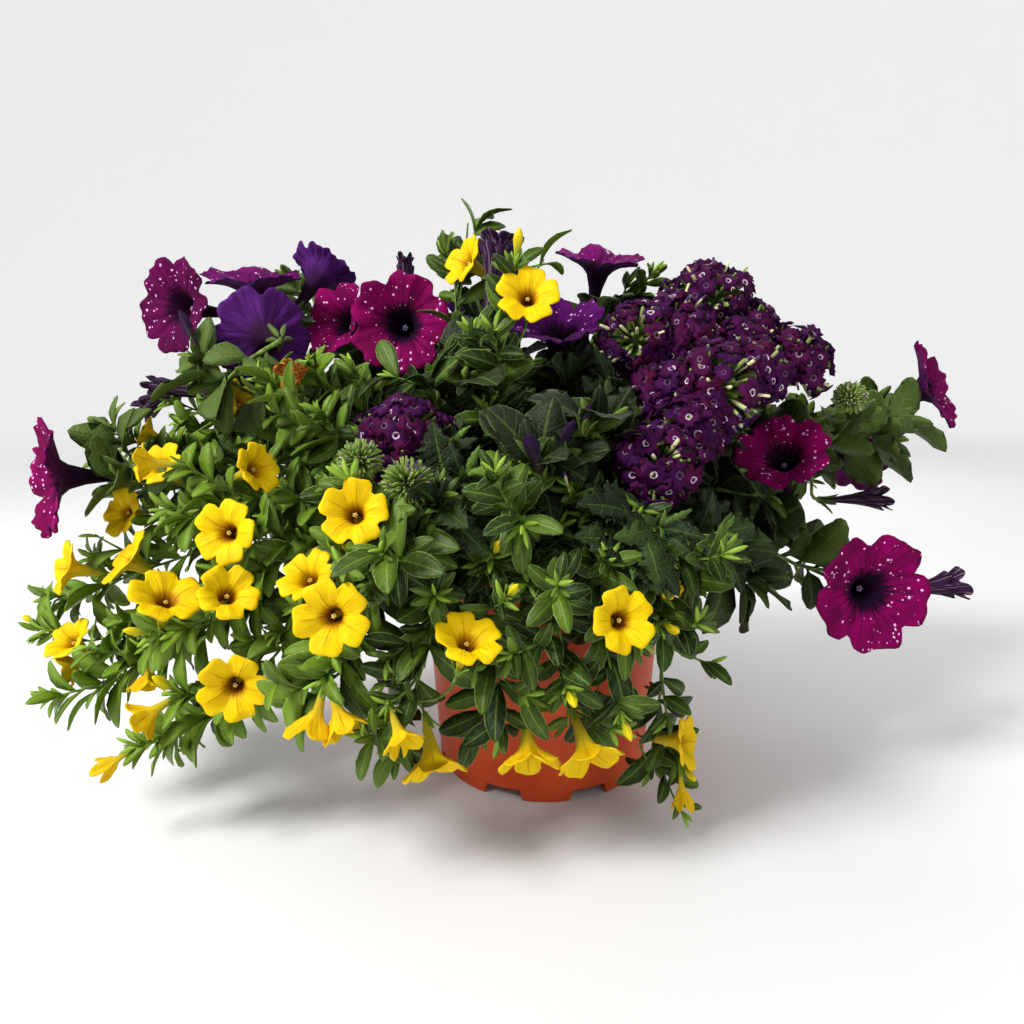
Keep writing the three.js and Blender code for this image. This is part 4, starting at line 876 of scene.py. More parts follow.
def add_calyx(cloth, foot, axis, kind, rng, size=1.0, slot=0):
    """Five slim sepals round the foot of a bloom, from just behind it, spreading a little."""
    length, behind, ring, degrees, half = CALYXES[kind]
    base = foot - axis * behind * MM
    turn = FULL_TURN * (np.arange(5) + rng.uniform()) / 5
    outs = turned(*square_to_upright(axis[None]), turn[:, None])
    lean = np.radians(degrees)
    along = unit(axis * math.cos(lean) + outs * math.sin(lean))
    reach = length * MM * size * rng.uniform(0.85, 1.15, (5, 1))
    flare = outs * reach * 0.16
    spines = np.stack([base + outs * ring * MM, along * reach - flare, 2 * flare], axis=1)
    sepal = dict(LEAVES["calibrachoa"], fold=0.3)
    traits = np.stack([rng.uniform(0, 1, 5), np.full(5, 0.55)], axis=1)
    add_blades(cloth, spines, -outs, np.full(5, half * MM), sepal, traits, slot, SEEDS["sepals"])


def add_ball(cloth, points, touching, chain, rng):
    """A head in bud: 260 needle-like calyxes that stand out evenly all round, from a middle and
    with a radius that the solid's ball gives."""
    core, end = set(chain["close"]), chain["way"][-1]
    for _ in range(4):
        core |= around(touching, core, set())
    spots = points[list(core)]
    spots = spots[np.linalg.norm(spots - end, axis=1) < BALL_REACH]
    spots = spots[(spots - end) @ unit(end - chain["way"][-2]) > -1 * MM]
    centre = spots.mean(axis=0)
    radius = np.linalg.norm(spots - centre, axis=1).max()
    height = 1 - 1.9 * (np.arange(NEEDLES) + 0.5) / NEEDLES
    outs = golden(height, np.array([1.0, 0, 0]), np.array([0, 1.0, 0]), np.array([0, 0, 1.0]))
    outs = unit(outs + rng.normal(0, 0.1, outs.shape))
    reach = radius * rng.uniform(0.82, 1.02, (NEEDLES, 1))
    starts, ways = centre + outs * reach * 0.15, outs * reach * 0.85
    add_spears(cloth, starts, ways, 0.55 * MM, rng.uniform(0.1, 0.75, NEEDLES), 2, rng)


def add_spears(cloth, starts, ways, half, paleness, slot, rng):
    """Slim calyxes and tubes: four-sided spears along straight ways, thickest past the foot."""
    t = np.array([0.05, 0.3, 0.7, 0.97])
    girth = half * np.array([0.55, 0.8, 1.0, 0.85])
    heading = unit(ways)
    across, up = square_to(heading, heading[:, [1, 2, 0]] + 0.01)
    turn = circle(4)
    ring = turned(across[:, None], up[:, None], turn[:, None])
    line = starts[:, None] + ways[:, None] * t[None, :, None]
    grid = line[:, :, None] + ring[:, None] * girth[None, :, None, None]
    traits = np.stack([rng.uniform(0, 1, len(starts)), paleness], axis=1)
    add_tubes(cloth, grid, np.stack([starts, starts + ways], axis=1),
              place_grid(t, turn / FULL_TURN), traits, slot)


# Blooms

# Each trumpet's length, the points round it, how deep its lobes part, how high its pleats, its
# frill and its lobes' tilt are, how deep its rim is scalloped and by which counts of waves, how far
# it hangs as a bell, its tube's profile as parts of the length and radii in mm, its face's profile
# as parts of both, and its skin's thickness
PETUNIA_TRUMPET = {
    "length": 42 * MM, "sides": 90, "lobe": 0.15, "pleat": 1.6 * MM, "frill": 1.3 * MM,
    "scallop": 0.022, "ruffles": [7, 11, 16, 23], "tilt": 1.6 * MM, "bell": 0.0, "skin": 0.6 * MM,
    "profile": [[0, 1.7], [0.1, 2.0], [0.3, 2.7], [0.55, 4.2], [0.74, 6.6], [0.85, 10.0]],
    "flare": [[0.91, 0.5], [0.955, 0.72], [0.985, 0.9], [1, 1]]}
TRUMPETS = {
    "petunia": PETUNIA_TRUMPET,
    "calibrachoa": {
        "length": 23 * MM, "sides": 50, "lobe": 0.23, "pleat": 1.4 * MM, "frill": 0.35 * MM,
        "scallop": 0.012, "ruffles": [6, 9, 13], "tilt": 1.3 * MM, "bell": 5 * MM, "skin": 0.5 * MM,
        "profile": [[0, 1.1], [0.15, 1.5], [0.4, 2.4], [0.62, 3.4], [0.78, 4.9]],
        "flare": [[0.87, 0.5], [0.93, 0.74], [0.965, 0.9], [0.96, 1]]},
    "wilted": dict(PETUNIA_TRUMPET, sides=50, lobe=0.3, frill=0.5 * MM, scallop=0.05,
                   ruffles=[3, 5, 8], pleat=1.2 * MM),
}

# Each throat's depth as a part of the length, its ring's radius and its anthers' size (mm)
THROATS = {"petunia": (0.68, 1.2, 0.8), "calibrachoa": (0.74, 0.7, 0.5)}


def small_bloom(foot, axis, radius, length, bell):
    """A small or half-open trumpet (mm), as read_bloom gives a full one."""
    axis = unit(np.array(axis, float))
    across, up = sides_of(axis, [0.3, 0.25, 1.0])
    return {"foot": foot, "axis": axis, "across": across, "up": up, "radius": radius * MM,
            "length": length * MM, "turns": np.array([0.0, 1.3, 2.9, 4.4]), "notch": 0.4 + foot[0] * 50,
            "waves": np.array([0.8, -1.0, 0.7, -0.4]) * MM, "bell": bell * MM, "scale": radius / 15}


def bent(bloom, heights):
    """A bloom's axis at heights above its foot. It is straight, or turns towards the way that
    the bloom faces by a smooth step between 0.3 and 0.9 of its length. Gives where it runs, the
    way it points and how its across and up directions turn with it."""
    axis, face = bloom["axis"], bloom.get("face", bloom["axis"])
    lean = math.acos(min(1.0, axis @ face))
    pin = unit(np.cross(axis, face))
    parts = np.linspace(0, 1.1, 56)
    step = np.clip((parts - 0.3) / 0.6, 0, 1)
    angle = (lean * step ** 2 * (3 - 2 * step))[:, None]
    ways = turned(axis, np.cross(pin, axis), angle)
    run = np.vstack([np.zeros(3), np.cumsum((ways[1:] + ways[:-1]) / 2, axis=0)])
    run = bloom["foot"] + run * (parts[1] * bloom["length"])
    angle = np.interp(heights, parts * bloom["length"], angle[:, 0])[:, None]
    sides = [turned(side, np.cross(pin, side), angle) + pin * (pin @ side) * (1 - np.cos(angle))
             for side in (bloom["across"], bloom["up"])]
    middle = along_line(heights, parts * bloom["length"], run)
    return middle, turned(axis, np.cross(pin, axis), angle), sides


def uneven(turn, counts, rng):
    """Waves round a rim: sines of several counts, each with its own size and start, about 1."""
    sizes, starts = rng.uniform(0.4, 1, len(counts)), rng.uniform(0, FULL_TURN, len(counts))
    return np.sin(np.outer(turn, counts) + starts) @ sizes / np.sqrt(len(counts))


def add_trumpet(cloth, bloom, kind, traits, rng):
    """A trumpet: rings about an axis whose radius and height follow a profile up the outside,
    over the rim and down the inside. Five lobes part at notches, pleats run down to the throat
    and the rim waves as the solid's does, with a finer frill."""
    facts = TRUMPETS[kind]
    length, radius = bloom["length"], bloom["radius"]
    turn = circle(facts["sides"])
    lobes = (turn - bloom["notch"]) * 5 / FULL_TURN
    lobe = lobes % 1
    hump = np.sin(np.pi * lobe)
    near = np.minimum(lobe, 1 - lobe)
    rim = 1 - facts["lobe"] * np.exp(-(near / 0.1) ** 2) - 0.05 * np.cos(FULL_TURN * lobe) ** 2
    rim += facts["scallop"] * uneven(turn, facts["ruffles"], rng)
    tilt = rng.uniform(-1, 1, 5)[np.floor(lobes % 5).astype(int)] * hump * facts["tilt"]
    tilt += bloom.get("bell", facts["bell"] * max(0.0, -bloom["axis"][2])) * hump ** 0.7
    sway = np.interp(turn, bloom["turns"] % FULL_TURN, bloom["waves"], period=FULL_TURN) + tilt
    frill = facts["frill"] * uneven(turn, facts["ruffles"], rng)
    crease, ridge = np.exp(-(near / 0.12) ** 2), np.exp(-((lobe - 0.5) / 0.08) ** 2)
    pleat = -facts["pleat"] * crease + 0.6 * facts["pleat"] * ridge
    tube = [[part, wide * MM * bloom.get("scale", 1) / radius] for part, wide in facts["profile"]]
    rows = np.array(tube + facts["flare"])
    rows[:, 1] = np.minimum(rows[:, 1], 1)
    share = np.clip((rows[:, 1] - 0.25) / 0.75, 0, 1)[:, None]
    spread = rows[:, 1:] * (1 + share ** 1.5 * (rim[None] - 1))
    height = (rows[:, :1] * length + share ** 1.6 * (sway + frill)[None]
              + np.sin(np.pi * share ** 0.8) * pleat[None])
    thin = (0.35 + (1 - share[::-1]) * 0.6) * facts["skin"] / radius
    inner_spread = np.maximum(spread[::-1] - thin, 0.01)
    inner_height = height[::-1] + facts["skin"] * (0.25 + 0.75 * share[::-1])
    keep = slice(0, len(rows) - 2)
    spread = np.vstack([spread, inner_spread[keep]]) * radius
    height = np.vstack([height, inner_height[keep]])
    levels = np.concatenate([rows[:, 0], rows[::-1, 0][keep]]) * length
    middle, way, (across, up) = bent(bloom, levels)
    arms = turned(across[:, None], up[:, None], turn[:, None])
    grid = (middle[:, None] + arms * spread[..., None]
            + way[:, None] * (height - levels[:, None])[..., None])
    poles = np.stack([bloom["foot"] - bloom["axis"] * 0.3 * MM,
                      grid[-1].mean(axis=0) - way[-1] * 0.5 * MM])
    place = np.concatenate([rows[:, 1], 2 - rows[::-1, 1][keep]])
    uvs = place_grid(place, ((turn - bloom["notch"]) / FULL_TURN) % 1)
    add_tubes(cloth, grid[None], poles[None], uvs, np.array([traits]), 0)


def add_throat(cloth, bloom, kind):
    """Five anthers and a stigma deep in the throat: small balls, longer than they are wide."""
    part, ring, size = THROATS[kind]
    depth, size = TRUMPETS[kind]["length"] * part, size * MM
    arms = turned(bloom["across"], bloom["up"], circle(5)[:, None])
    tips = np.vstack([bent(bloom, np.array([depth]))[0] + ring * MM * arms,
                      bent(bloom, np.array([depth + 0.8 * MM]))[0]])
    t = np.array([0.12, 0.5, 0.88])
    girth = np.sqrt(1 - (2 * t - 1) ** 2)
    around_it = turned(bloom["across"], bloom["up"], circle(6)[:, None])
    grid = (tips[:, None, None] + bloom["axis"] * ((t - 0.5) * 2 * size)[None, :, None, None]
            + around_it[None, None] * (girth * size * 0.8)[None, :, None, None])
    poles = np.stack([tips - bloom["axis"] * size, tips + bloom["axis"] * size], axis=1)
    traits = np.tile([0.5, float(kind == "calibrachoa")], (len(tips), 1))
    add_tubes(cloth, grid, poles, [0.5, 0.5], traits, 1)


# Verbena heads

# A floret's tube, how near a solid's floret no other one stands, how deep the core of a head lies
# below its dome, and the radius of the heads that stand between the solid's
FLORET_TUBE = 9 * MM
FLORET_GAP = 4.6 * MM
CORE_DEPTH = 13 * MM
SMALL_DOME = 19 * MM

# How many florets and green calyxes are added to a head, and how many florets to one between
HEAD_FLORETS = 44
GREEN_CALYXES = 56
FLORETS_BETWEEN = 34

# Places in the picture where florets have dropped and their tubes stand out, and how far round
# each place that is (pixels)
DROPPED = np.array([(614, 338), (651, 341), (722, 307), (772, 344), (742, 375), (715, 368),
                    (661, 422), (675, 459), (803, 392), (698, 297)])
DROPPED_REACH = 11

# Where a head has dropped its florets: how far that place lies from the middle of its dome, and
# how far round it reaches, as a cosine
BARE_REACH = 0.87
BARE_PLACES = [(0.1, -0.5, -0.6), (0.5, -0.4, 0.2), (0.2, -0.4, -0.9), None, (0.1, -0.3, 0.4),
               None, None]

# Heads that fill the gaps between those, each named by the domes that it stands between
HEADS_BETWEEN = [(1, 2, 3), (2, 3, 4), (1, 3, 5), (3, 5), (1, 2), (2, 4), (3, 4)]


def add_florets(cloth, middles, outs, radii, rng):
    """Florets: a slim tube that opens into a flat face of five petals, each notched at its end.
    The radius at a turn is the petal's: full at its shoulders, nipped in between two petals.
    The rows are the height, the part of the radius, how much the petal shapes it, and the place."""
    turn = circle(20)
    petal = np.tile([0.6, 1.0, 0.9, 1.0], 5)
    traits = rng.uniform(0, 1, (len(outs), 2))
    across, up = square_to_upright(outs)
    spin = rng.uniform(*ANY_TURN, (len(outs), 1)) + turn[None]
    arms = turned(across[:, None], up[:, None], spin[..., None])
    rows = [(-FLORET_TUBE, 0.12, 0, 0.0), (-1.0 * MM, 0.17, 0, 0.17), (0.0, 1.0, 1.0, 1.0),
            (0.45 * MM, 0.55, 0.6, 1.45), (0.2 * MM, 0.15, 0.1, 1.85)]
    droop, phase = rng.uniform(-0.1, 0.22, (len(outs), 1)), rng.uniform(*ANY_TURN, (len(outs), 1))
    rings = []
    for height, wide, share, _ in rows:
        wave = share * (0.14 * np.sin(2 * spin + phase) + 0.08 * np.cos(5 * turn) - droop * wide ** 2)
        spread = radii[:, None] * wide * (1 - share * (1 - petal[None]))
        rings.append(middles[:, None] + arms * spread[..., None]
                     + outs[:, None] * (height + wave * radii[:, None])[..., None])
    poles = np.stack([middles - outs * (FLORET_TUBE + 0.2 * MM), middles - outs * 0.9 * MM], axis=1)
    uvs = place_grid([row[3] for row in rows], (turn * 5 / FULL_TURN) % 1)
    add_tubes(cloth, np.stack(rings, axis=1), poles, uvs, traits, 0)


def grow_heads(florets, dome, bare, seed, count):
    """A bunch of verbena heads: florets where the solid has them, more between them over the same
    dome by the golden angle, and green calyxes and cream tubes that show in the gaps. Where the
    dome is bare, its florets have dropped and only their tubes stand."""
    rng = np.random.default_rng(seed)
    centre, size, facing, reach = dome
    across, up = sides_of(facing, [0, 1.0, 0.1])
    cloth = Cloth()
    if florets:
        middles, outs, radii = florets
        add_florets(cloth, middles, outs, radii * 1.15, rng)
    heights = 1 - (1 - reach) * (np.arange(count) + 0.5) / count
    more = unit(golden(heights, across, up, facing) + rng.normal(0, 0.09, (count, 3)))
    spots = centre + more * (size + rng.uniform(-3.2, 0.6, (count, 1)) * MM)
    if florets:
        near = np.linalg.norm(spots[:, None] - middles[None], axis=2).min(axis=1)
        spots, more = spots[near > FLORET_GAP], more[near > FLORET_GAP]
    shown = more @ unit(facing + np.array(bare)) < BARE_REACH if bare else np.ones(len(more), bool)
    gaps = np.linalg.norm(seen(spots)[:, None] - DROPPED[None], axis=2).min(axis=1)
    shown &= (gaps > DROPPED_REACH) | (spots[:, 1] > centre[1])
    tilted = unit(more + rng.normal(0, 0.24, more.shape))
    add_florets(cloth, spots[shown], tilted[shown], rng.uniform(6.4, 8.2, shown.sum()) * MM, rng)
    picks = np.repeat(np.arange(len(more)), 2)
    ways = unit(more[picks] + rng.normal(0, 0.22, (len(picks), 3)))
    tall = np.where(shown[picks], rng.uniform(7, 14, len(picks)), rng.uniform(13, 19, len(picks)))
    pale = np.where(shown[picks], rng.uniform(0.1, 0.7, len(picks)), rng.uniform(0.6, 1, len(picks)))
    add_spears(cloth, centre + ways * (size - CORE_DEPTH), ways * tall[:, None] * MM, 0.9 * MM, pale, 1, rng)
    add_core(cloth, centre, size - CORE_DEPTH, 1)
    stand = golden(np.linspace(0.98, -0.6, GREEN_CALYXES), across, up, facing, 0)
    stand = unit(stand + rng.normal(0, 0.12, stand.shape))
    add_spears(cloth, centre + stand * (size - CORE_DEPTH - 1 * MM), stand * 8.5 * MM, 1.3 * MM,
               rng.uniform(0.0, 0.5, GREEN_CALYXES), 1, rng)
    return cloth


def add_core(cloth, centre, radius, slot):
    """The crowded feet of a head's calyxes, as a small ball: rings by latitude about z."""
    rise = np.linspace(0.12, 0.88, 6)[:, None] * np.pi
    turn = circle(12)[None]
    grid = np.stack([np.sin(rise) * np.cos(turn), np.sin(rise) * np.sin(turn),
                     -np.cos(rise) * np.ones_like(turn)], axis=-1)
    poles = np.array([[0, 0, -1.0], [0, 0, 1.0]])
    add_tubes(cloth, (centre + radius * grid)[None], (centre + radius * poles)[None],
              place_grid(np.zeros(6), turn[0] / FULL_TURN), np.array([[0.0, 0.0]]), slot)


# Materials

class Paint:
    """The nodes of one material or node group as it is painted. Wherever a value is asked for, a
    number, a colour as three eight-bit screen values or another node's output will do."""

    def __init__(self, tree):
        self.tree = tree

    def node(self, kind, **settings):
        """A node with settings, where a setting that names an input sets that input."""
        made = self.tree.nodes.new(kind)
        for key, value in settings.items():
            if hasattr(made, key):
                setattr(made, key, value)
            else:
                self.feed(made.inputs[key], value)
        return made

    def feed(self, socket, value):
        """Gives an input its value."""
        if isinstance(value, bpy.types.NodeSocket):
            self.tree.links.new(value, socket)
        elif isinstance(value, tuple):
            socket.default_value = (*(linear(part) for part in value), 1)
        else:
            socket.default_value = value

    def combine(self, operation, *values):
        """A Math node on the values."""
        made = self.node("ShaderNodeMath", operation=operation)
        for socket, value in zip(made.inputs, values):
            self.feed(socket, value)
        return made.outputs[0]

    def plus(self, first, second):
        return self.combine("ADD", first, second)

    def minus(self, first, second):
        return self.combine("SUBTRACT", first, second)

    def times(self, first, *others):
        """The product of all the values."""
        for other in others:
            first = self.combine("MULTIPLY", first, other)
        return first

    def larger(self, first, second):
        return self.combine("MAXIMUM", first, second)

    def away(self, first, second):
        """How far apart two values are."""
        return self.combine("ABSOLUTE", self.minus(first, second))

    def between(self, value, low, high, start=0.0, end=1.0):
        """A value moved from one range to another, and kept inside it, by a smooth step."""
        made = self.node("ShaderNodeMapRange", interpolation_type="SMOOTHSTEP")
        for key, number in (("Value", value), ("From Min", low), ("From Max", high),
                            ("To Min", start), ("To Max", end)):
            self.feed(made.inputs[key], number)
        return made.outputs["Result"]

    def mix(self, share, first, second):
        """Two colours mixed by a share."""
        made = self.node("ShaderNodeMix", data_type="RGBA")
        for index, value in ((0, share), (6, first), (7, second)):
            self.feed(made.inputs[index], value)
        return made.outputs[2]

    def spots(self):
        """Where a spot lies, in Object coordinates."""
        return self.node("ShaderNodeTexCoord").outputs["Object"]

    def layer(self, name):
        """The two numbers of a UV layer."""
        parts = self.node("ShaderNodeSeparateXYZ")
        self.feed(parts.inputs[0], self.node("ShaderNodeUVMap", uv_map=name).outputs["UV"])
        return parts.outputs

    def placed(self, group, **values):
        """The outputs of a group that is placed here with its own values."""
        return self.node("ShaderNodeGroup", node_tree=group, **values).outputs

    def noise(self, scale, detail):
        """Fine noise over the piece, with so many grains a metre."""
        return self.placed(GRAIN, Where=self.spots(), Scale=scale, Detail=detail)["Grain"]

    def rays(self, reach, turn, count, stretch):
        """Noise drawn out along the rays of a bloom."""
        return self.placed(RAYS, Reach=reach, Turn=turn, Count=count, Stretch=stretch)["Lines"]

    def ribs(self, turn, count, bend, narrow, wide):
        """A mask of thin lines that run out from the throat."""
        return self.placed(RIBS, Turn=turn, Count=count, Bend=bend, Narrow=narrow, Wide=wide)["Mask"]

    def frayed(self, reach, fray, depth):
        """A bloom's reach, with its edge frayed along the rays to a depth."""
        return self.plus(reach, self.times(self.minus(fray, 0.5), depth))


class Material(Paint):
    """A material with a Principled shader, whose constant values are set on its own sockets."""

    def __init__(self, name, **sockets):
        self.made = bpy.data.materials.new(name)
        self.made.use_nodes = True
        super().__init__(self.made.node_tree)
        self.shader = self.tree.nodes["Principled BSDF"]
        for socket, value in sockets.items():
            self.shader.inputs[socket.replace("_", " ")].default_value = value

    def cover(self, colour, socket="Base Color"):
        """Feeds a colour, or what else changes over the surface, into the shader."""
        self.feed(self.shader.inputs[socket], colour)

    def bump(self, height, strength, distance=0.6 * MM):
        """Feeds a height into the shader's normal."""
        made = self.node("ShaderNodeBump", Strength=strength, Distance=distance, Height=height)
        self.cover(made.outputs["Normal"], "Normal")


def linear(part):
    """The linear value of an eight-bit screen value."""
    part /= 255
    return part / 12.92 if part <= 0.04045 else ((part + 0.055) / 1.055) ** 2.4


def new_group(name, inputs, outputs):
    """A node group with named number inputs and outputs, or a vector where the input has no
    value. Gives its paint, its inputs as sockets to read from and its outputs to feed."""
    group = bpy.data.node_groups.new(name, "ShaderNodeTree")
    for label, value in inputs.items():
        kind = "NodeSocketVector" if value is None else "NodeSocketFloat"
        made = group.interface.new_socket(label, in_out="INPUT", socket_type=kind)
        if value is not None:
            made.default_value = value
    for label in outputs:
        group.interface.new_socket(label, in_out="OUTPUT", socket_type="NodeSocketFloat")
    return Paint(group), group.nodes.new("NodeGroupInput").outputs, group.nodes.new("NodeGroupOutput").inputs


def vein_group():
    """A group that gives a leaf's veins: the midrib's mask, the side veins' mask and the mask of the
    rim, where a highlight is painted, from the place on the leaf and the number of side veins."""
    paint, given, ends = new_group("leaf_veins", {"Along": 0.0, "Across": 0.5, "Count": 8.0},
                                   ("Midrib", "Side veins", "Rim"))
    off = paint.away(given["Across"], 0.5)
    phase = paint.minus(paint.times(given["Along"], given["Count"]), paint.times(off, 2.2))
    ripple = paint.away(paint.combine("FRACT", phase), 0.5)
    paint.feed(ends["Midrib"], paint.between(off, 0.015, 0.06, 1, 0))
    paint.feed(ends["Side veins"], paint.between(ripple, 0.02, 0.1, 1, 0))
    paint.feed(ends["Rim"], paint.between(off, 0.445, 0.495))
    return paint.tree


def reach_group():
    """A group that parts a petal's place, which counts 0 to 1 up the outside and 1 to 2 back down
    the inside, into its reach from the throat at 0 to the rim at 1 and whether it is inside."""
    paint, given, ends = new_group("petal_reach", {"Along": 0.0}, ("Reach", "Inside"))
    paint.feed(ends["Inside"], paint.combine("GREATER_THAN", given["Along"], 1.0))
    paint.feed(ends["Reach"], paint.minus(1.0, paint.away(given["Along"], 1.0)))
    return paint.tree


def ray_group():
    """A group that gives noise drawn out along the rays of a bloom: Count lines round it, that
    change Stretch times on their way out."""
    paint, given, ends = new_group(
        "petal_rays", {"Reach": 0.0, "Turn": 0.0, "Count": 60.0, "Stretch": 2.0}, ("Lines",))
    where = paint.node("ShaderNodeCombineXYZ")
    paint.feed(where.inputs[0], paint.times(given["Turn"], given["Count"]))
    paint.feed(where.inputs[1], paint.times(given["Reach"], given["Stretch"]))
    made = paint.node("ShaderNodeTexNoise", Scale=1.0, Detail=2.0, Vector=where.outputs[0])
    paint.feed(ends["Lines"], made.outputs[0])
    return paint.tree


def rib_group():
    """A group that gives a mask of thin lines that run out from the throat: Count of them, with a
    slight bend, solid within Narrow of their middle and gone at Wide."""
    paint, given, ends = new_group(
        "petal_ribs", {"Turn": 0.0, "Count": 5.0, "Bend": 0.0, "Narrow": 0.02, "Wide": 0.12}, ("Mask",))
    wave = paint.plus(paint.times(given["Turn"], given["Count"]), paint.times(given["Bend"], 0.8))
    off = paint.away(paint.combine("FRACT", wave), 0.5)
    paint.feed(ends["Mask"], paint.between(off, given["Narrow"], given["Wide"], 1, 0))
    return paint.tree


def grain_group():
    """A group that gives fine noise over a surface, from its Object coordinates: Scale is how
    many grains there are in a metre."""
    paint, given, ends = new_group("grain", {"Where": None, "Scale": 100.0, "Detail": 2.0}, ("Grain",))
    made = paint.node("ShaderNodeTexNoise", Scale=given["Scale"], Detail=given["Detail"],
                      Vector=given["Where"])
    paint.feed(ends["Grain"], made.outputs[0])
    return paint.tree


VEINS, REACH, RAYS, RIBS, GRAIN = vein_group(), reach_group(), ray_group(), rib_group(), grain_group()

# Each plant's leaf: its green in painted shade, its green in painted sunlight, its young, vein and rim
# colours, where the rim colour is a painted highlight, the count of its side veins, its roughness, its
# relief and how much its rim highlight shows. Each stem: its light and dark colours
LEAF_LOOKS = {
    "calibrachoa": ((26, 46, 6), (106, 138, 30), (150, 188, 58), (118, 152, 52), (172, 202, 106),
                    5.0, 0.5, 0.3, 0.7),
    "petunia": ((24, 36, 10), (76, 98, 34), (112, 140, 50), (92, 112, 48), (124, 148, 80),
                6.0, 0.6, 0.6, 0.55),
    "verbena": ((20, 36, 8), (66, 94, 28), (104, 138, 50), (90, 120, 50), (92, 124, 54),
                8.0, 0.6, 0.8, 0.3)}
STEM_LOOKS = {"calibrachoa": ((122, 150, 66), (78, 108, 42)), "petunia": ((128, 150, 74), (84, 108, 46)),
              "verbena": ((110, 138, 62), (66, 92, 40))}


def leaf_material(kind):
    """Leaf tissue: a dark green of painted shade and a lit green of painted sunlight, mixed by each leaf's
    painted light with a little noise, brighter where young, with paler midrib and side veins, a painted
    highlight along the rim, and raised veins."""
    dark, lit, young, vein, rim, count, gloss, relief, rim_highlight_share = LEAF_LOOKS[kind]
    paint = Material(f"{kind}_leaf", Roughness=gloss, Specular_IOR_Level=0.28)
    place, traits = paint.layer("Place"), paint.layer("Traits")
    veins = paint.placed(VEINS, Along=place[0], Across=place[1], Count=count)
    # Painted shade and painted sunlight: the leaf's painted light, with a little noise, mixes the dark green
    # and the lit one
    share = paint.plus(paint.times(traits[0], 0.8), paint.times(paint.noise(160, 1), 0.2))
    green = paint.mix(paint.between(share, 0.1, 0.9), dark, lit)
    green = paint.mix(paint.between(traits[1], 0.3, 1.0), green, young)
    green = paint.mix(paint.times(veins["Side veins"], 0.18), green, vein)
    green = paint.mix(paint.times(veins["Midrib"], 0.5), green, vein)
    # A painted highlight along the leaf's rim
    paint.cover(paint.mix(paint.times(veins["Rim"], rim_highlight_share), green, rim))
    sunk = paint.plus(paint.times(veins["Side veins"], 0.7), veins["Midrib"])
    paint.bump(paint.minus(paint.noise(900, 0), sunk), relief)
    return paint.made


def stem_material(kind):
    """Stem skin: green with paler streaks along it and fine down."""
    lit, dark = STEM_LOOKS[kind]
    paint = Material(f"{kind}_stem", Roughness=0.6, Specular_IOR_Level=0.25)
    paint.cover(paint.mix(paint.between(paint.noise(260, 1), 0.35, 0.7), dark, lit))
    paint.bump(paint.noise(1400, 0), 0.25)
    return paint.made


def petal_material(name, rough, specular):
    """A petal's paint, and where a spot lies on a trumpet or floret: its reach from the throat at
    0 to the rim at 1, whether it is on the inside, and its turn about the axis."""
    paint = Material(name, Roughness=rough, Specular_IOR_Level=specular)
    place = paint.layer("Place")
    parts = paint.placed(REACH, Along=place[0])
    return paint, parts["Reach"], parts["Inside"], place[1]


def petunia_material():
    """Petunia petals: velvety magenta to violet, a near-black throat that frays outwards, darker
    veins to the rim, and white specks and streaks, densest round the throat. The underside is
    duller and more violet. A painted shade darkens the blooms that lie in shade, by their second trait."""
    paint, reach, inside, turn = petal_material("petunia_petal", 0.8, 0.07)
    between, mix, times, traits = paint.between, paint.mix, paint.times, paint.layer("Traits")
    cloud, fray = paint.noise(70, 2), paint.rays(reach, turn, 60.0, 2.0)
    magenta = mix(between(cloud, 0.3, 0.7), (104, 0, 62), (140, 0, 88))
    violet = mix(between(cloud, 0.3, 0.7), (70, 12, 82), (104, 24, 116))
    face = mix(between(traits[0], 0.3, 0.9), magenta, violet)
    face = mix(between(fray, 0.45, 0.75, 0, 0.35), face, (70, 0, 56))
    vein = times(paint.ribs(turn, 25.0, cloud, 0.02, 0.12), between(reach, 0.35, 1.0, 0.7, 0.12))
    face = mix(vein, face, (44, 0, 40))
    face = mix(between(paint.frayed(reach, fray, 0.5), 0.3, 0.5, 1, 0), face, (22, 4, 28))
    under = mix(between(traits[0], 0.2, 0.9), (92, 8, 74), (88, 36, 118))
    under = mix(between(fray, 0.35, 0.7, 0, 0.55), under, (46, 6, 52))
    under = mix(between(reach, 0.15, 0.6, 1, 0), under, (34, 12, 36))
    specks = paint.node("ShaderNodeTexVoronoi", Scale=620.0, Randomness=1.0, Vector=paint.spots())
    sizes = paint.node("ShaderNodeSeparateColor")
    paint.feed(sizes.inputs[0], specks.outputs["Color"])
    few = between(paint.noise(120, 2), 0.4, 0.66, 16.0, 4.5)
    dots = paint.combine("LESS_THAN", specks.outputs["Distance"],
                         times(paint.combine("POWER", sizes.outputs[0], few), 0.56))
    dots = times(dots, between(reach, 0.36, 0.46))
    streaks = times(between(paint.rays(reach, turn, 150.0, 7.0), 0.71, 0.77),
                    times(between(reach, 0.3, 0.42), between(reach, 0.55, 0.85, 1, 0)))
    pale = times(paint.larger(dots, streaks), inside, 0.85)
    # A painted shade that darkens the blooms that lie in shade, by the second trait
    colour = mix(times(traits[1], 0.75), mix(inside, under, face), (46, 4, 36))
    paint.cover(mix(pale, colour, (250, 190, 240)))
    paint.bump(paint.minus(paint.rays(reach, turn, 90.0, 4.0), vein), 0.5)
    return paint.made


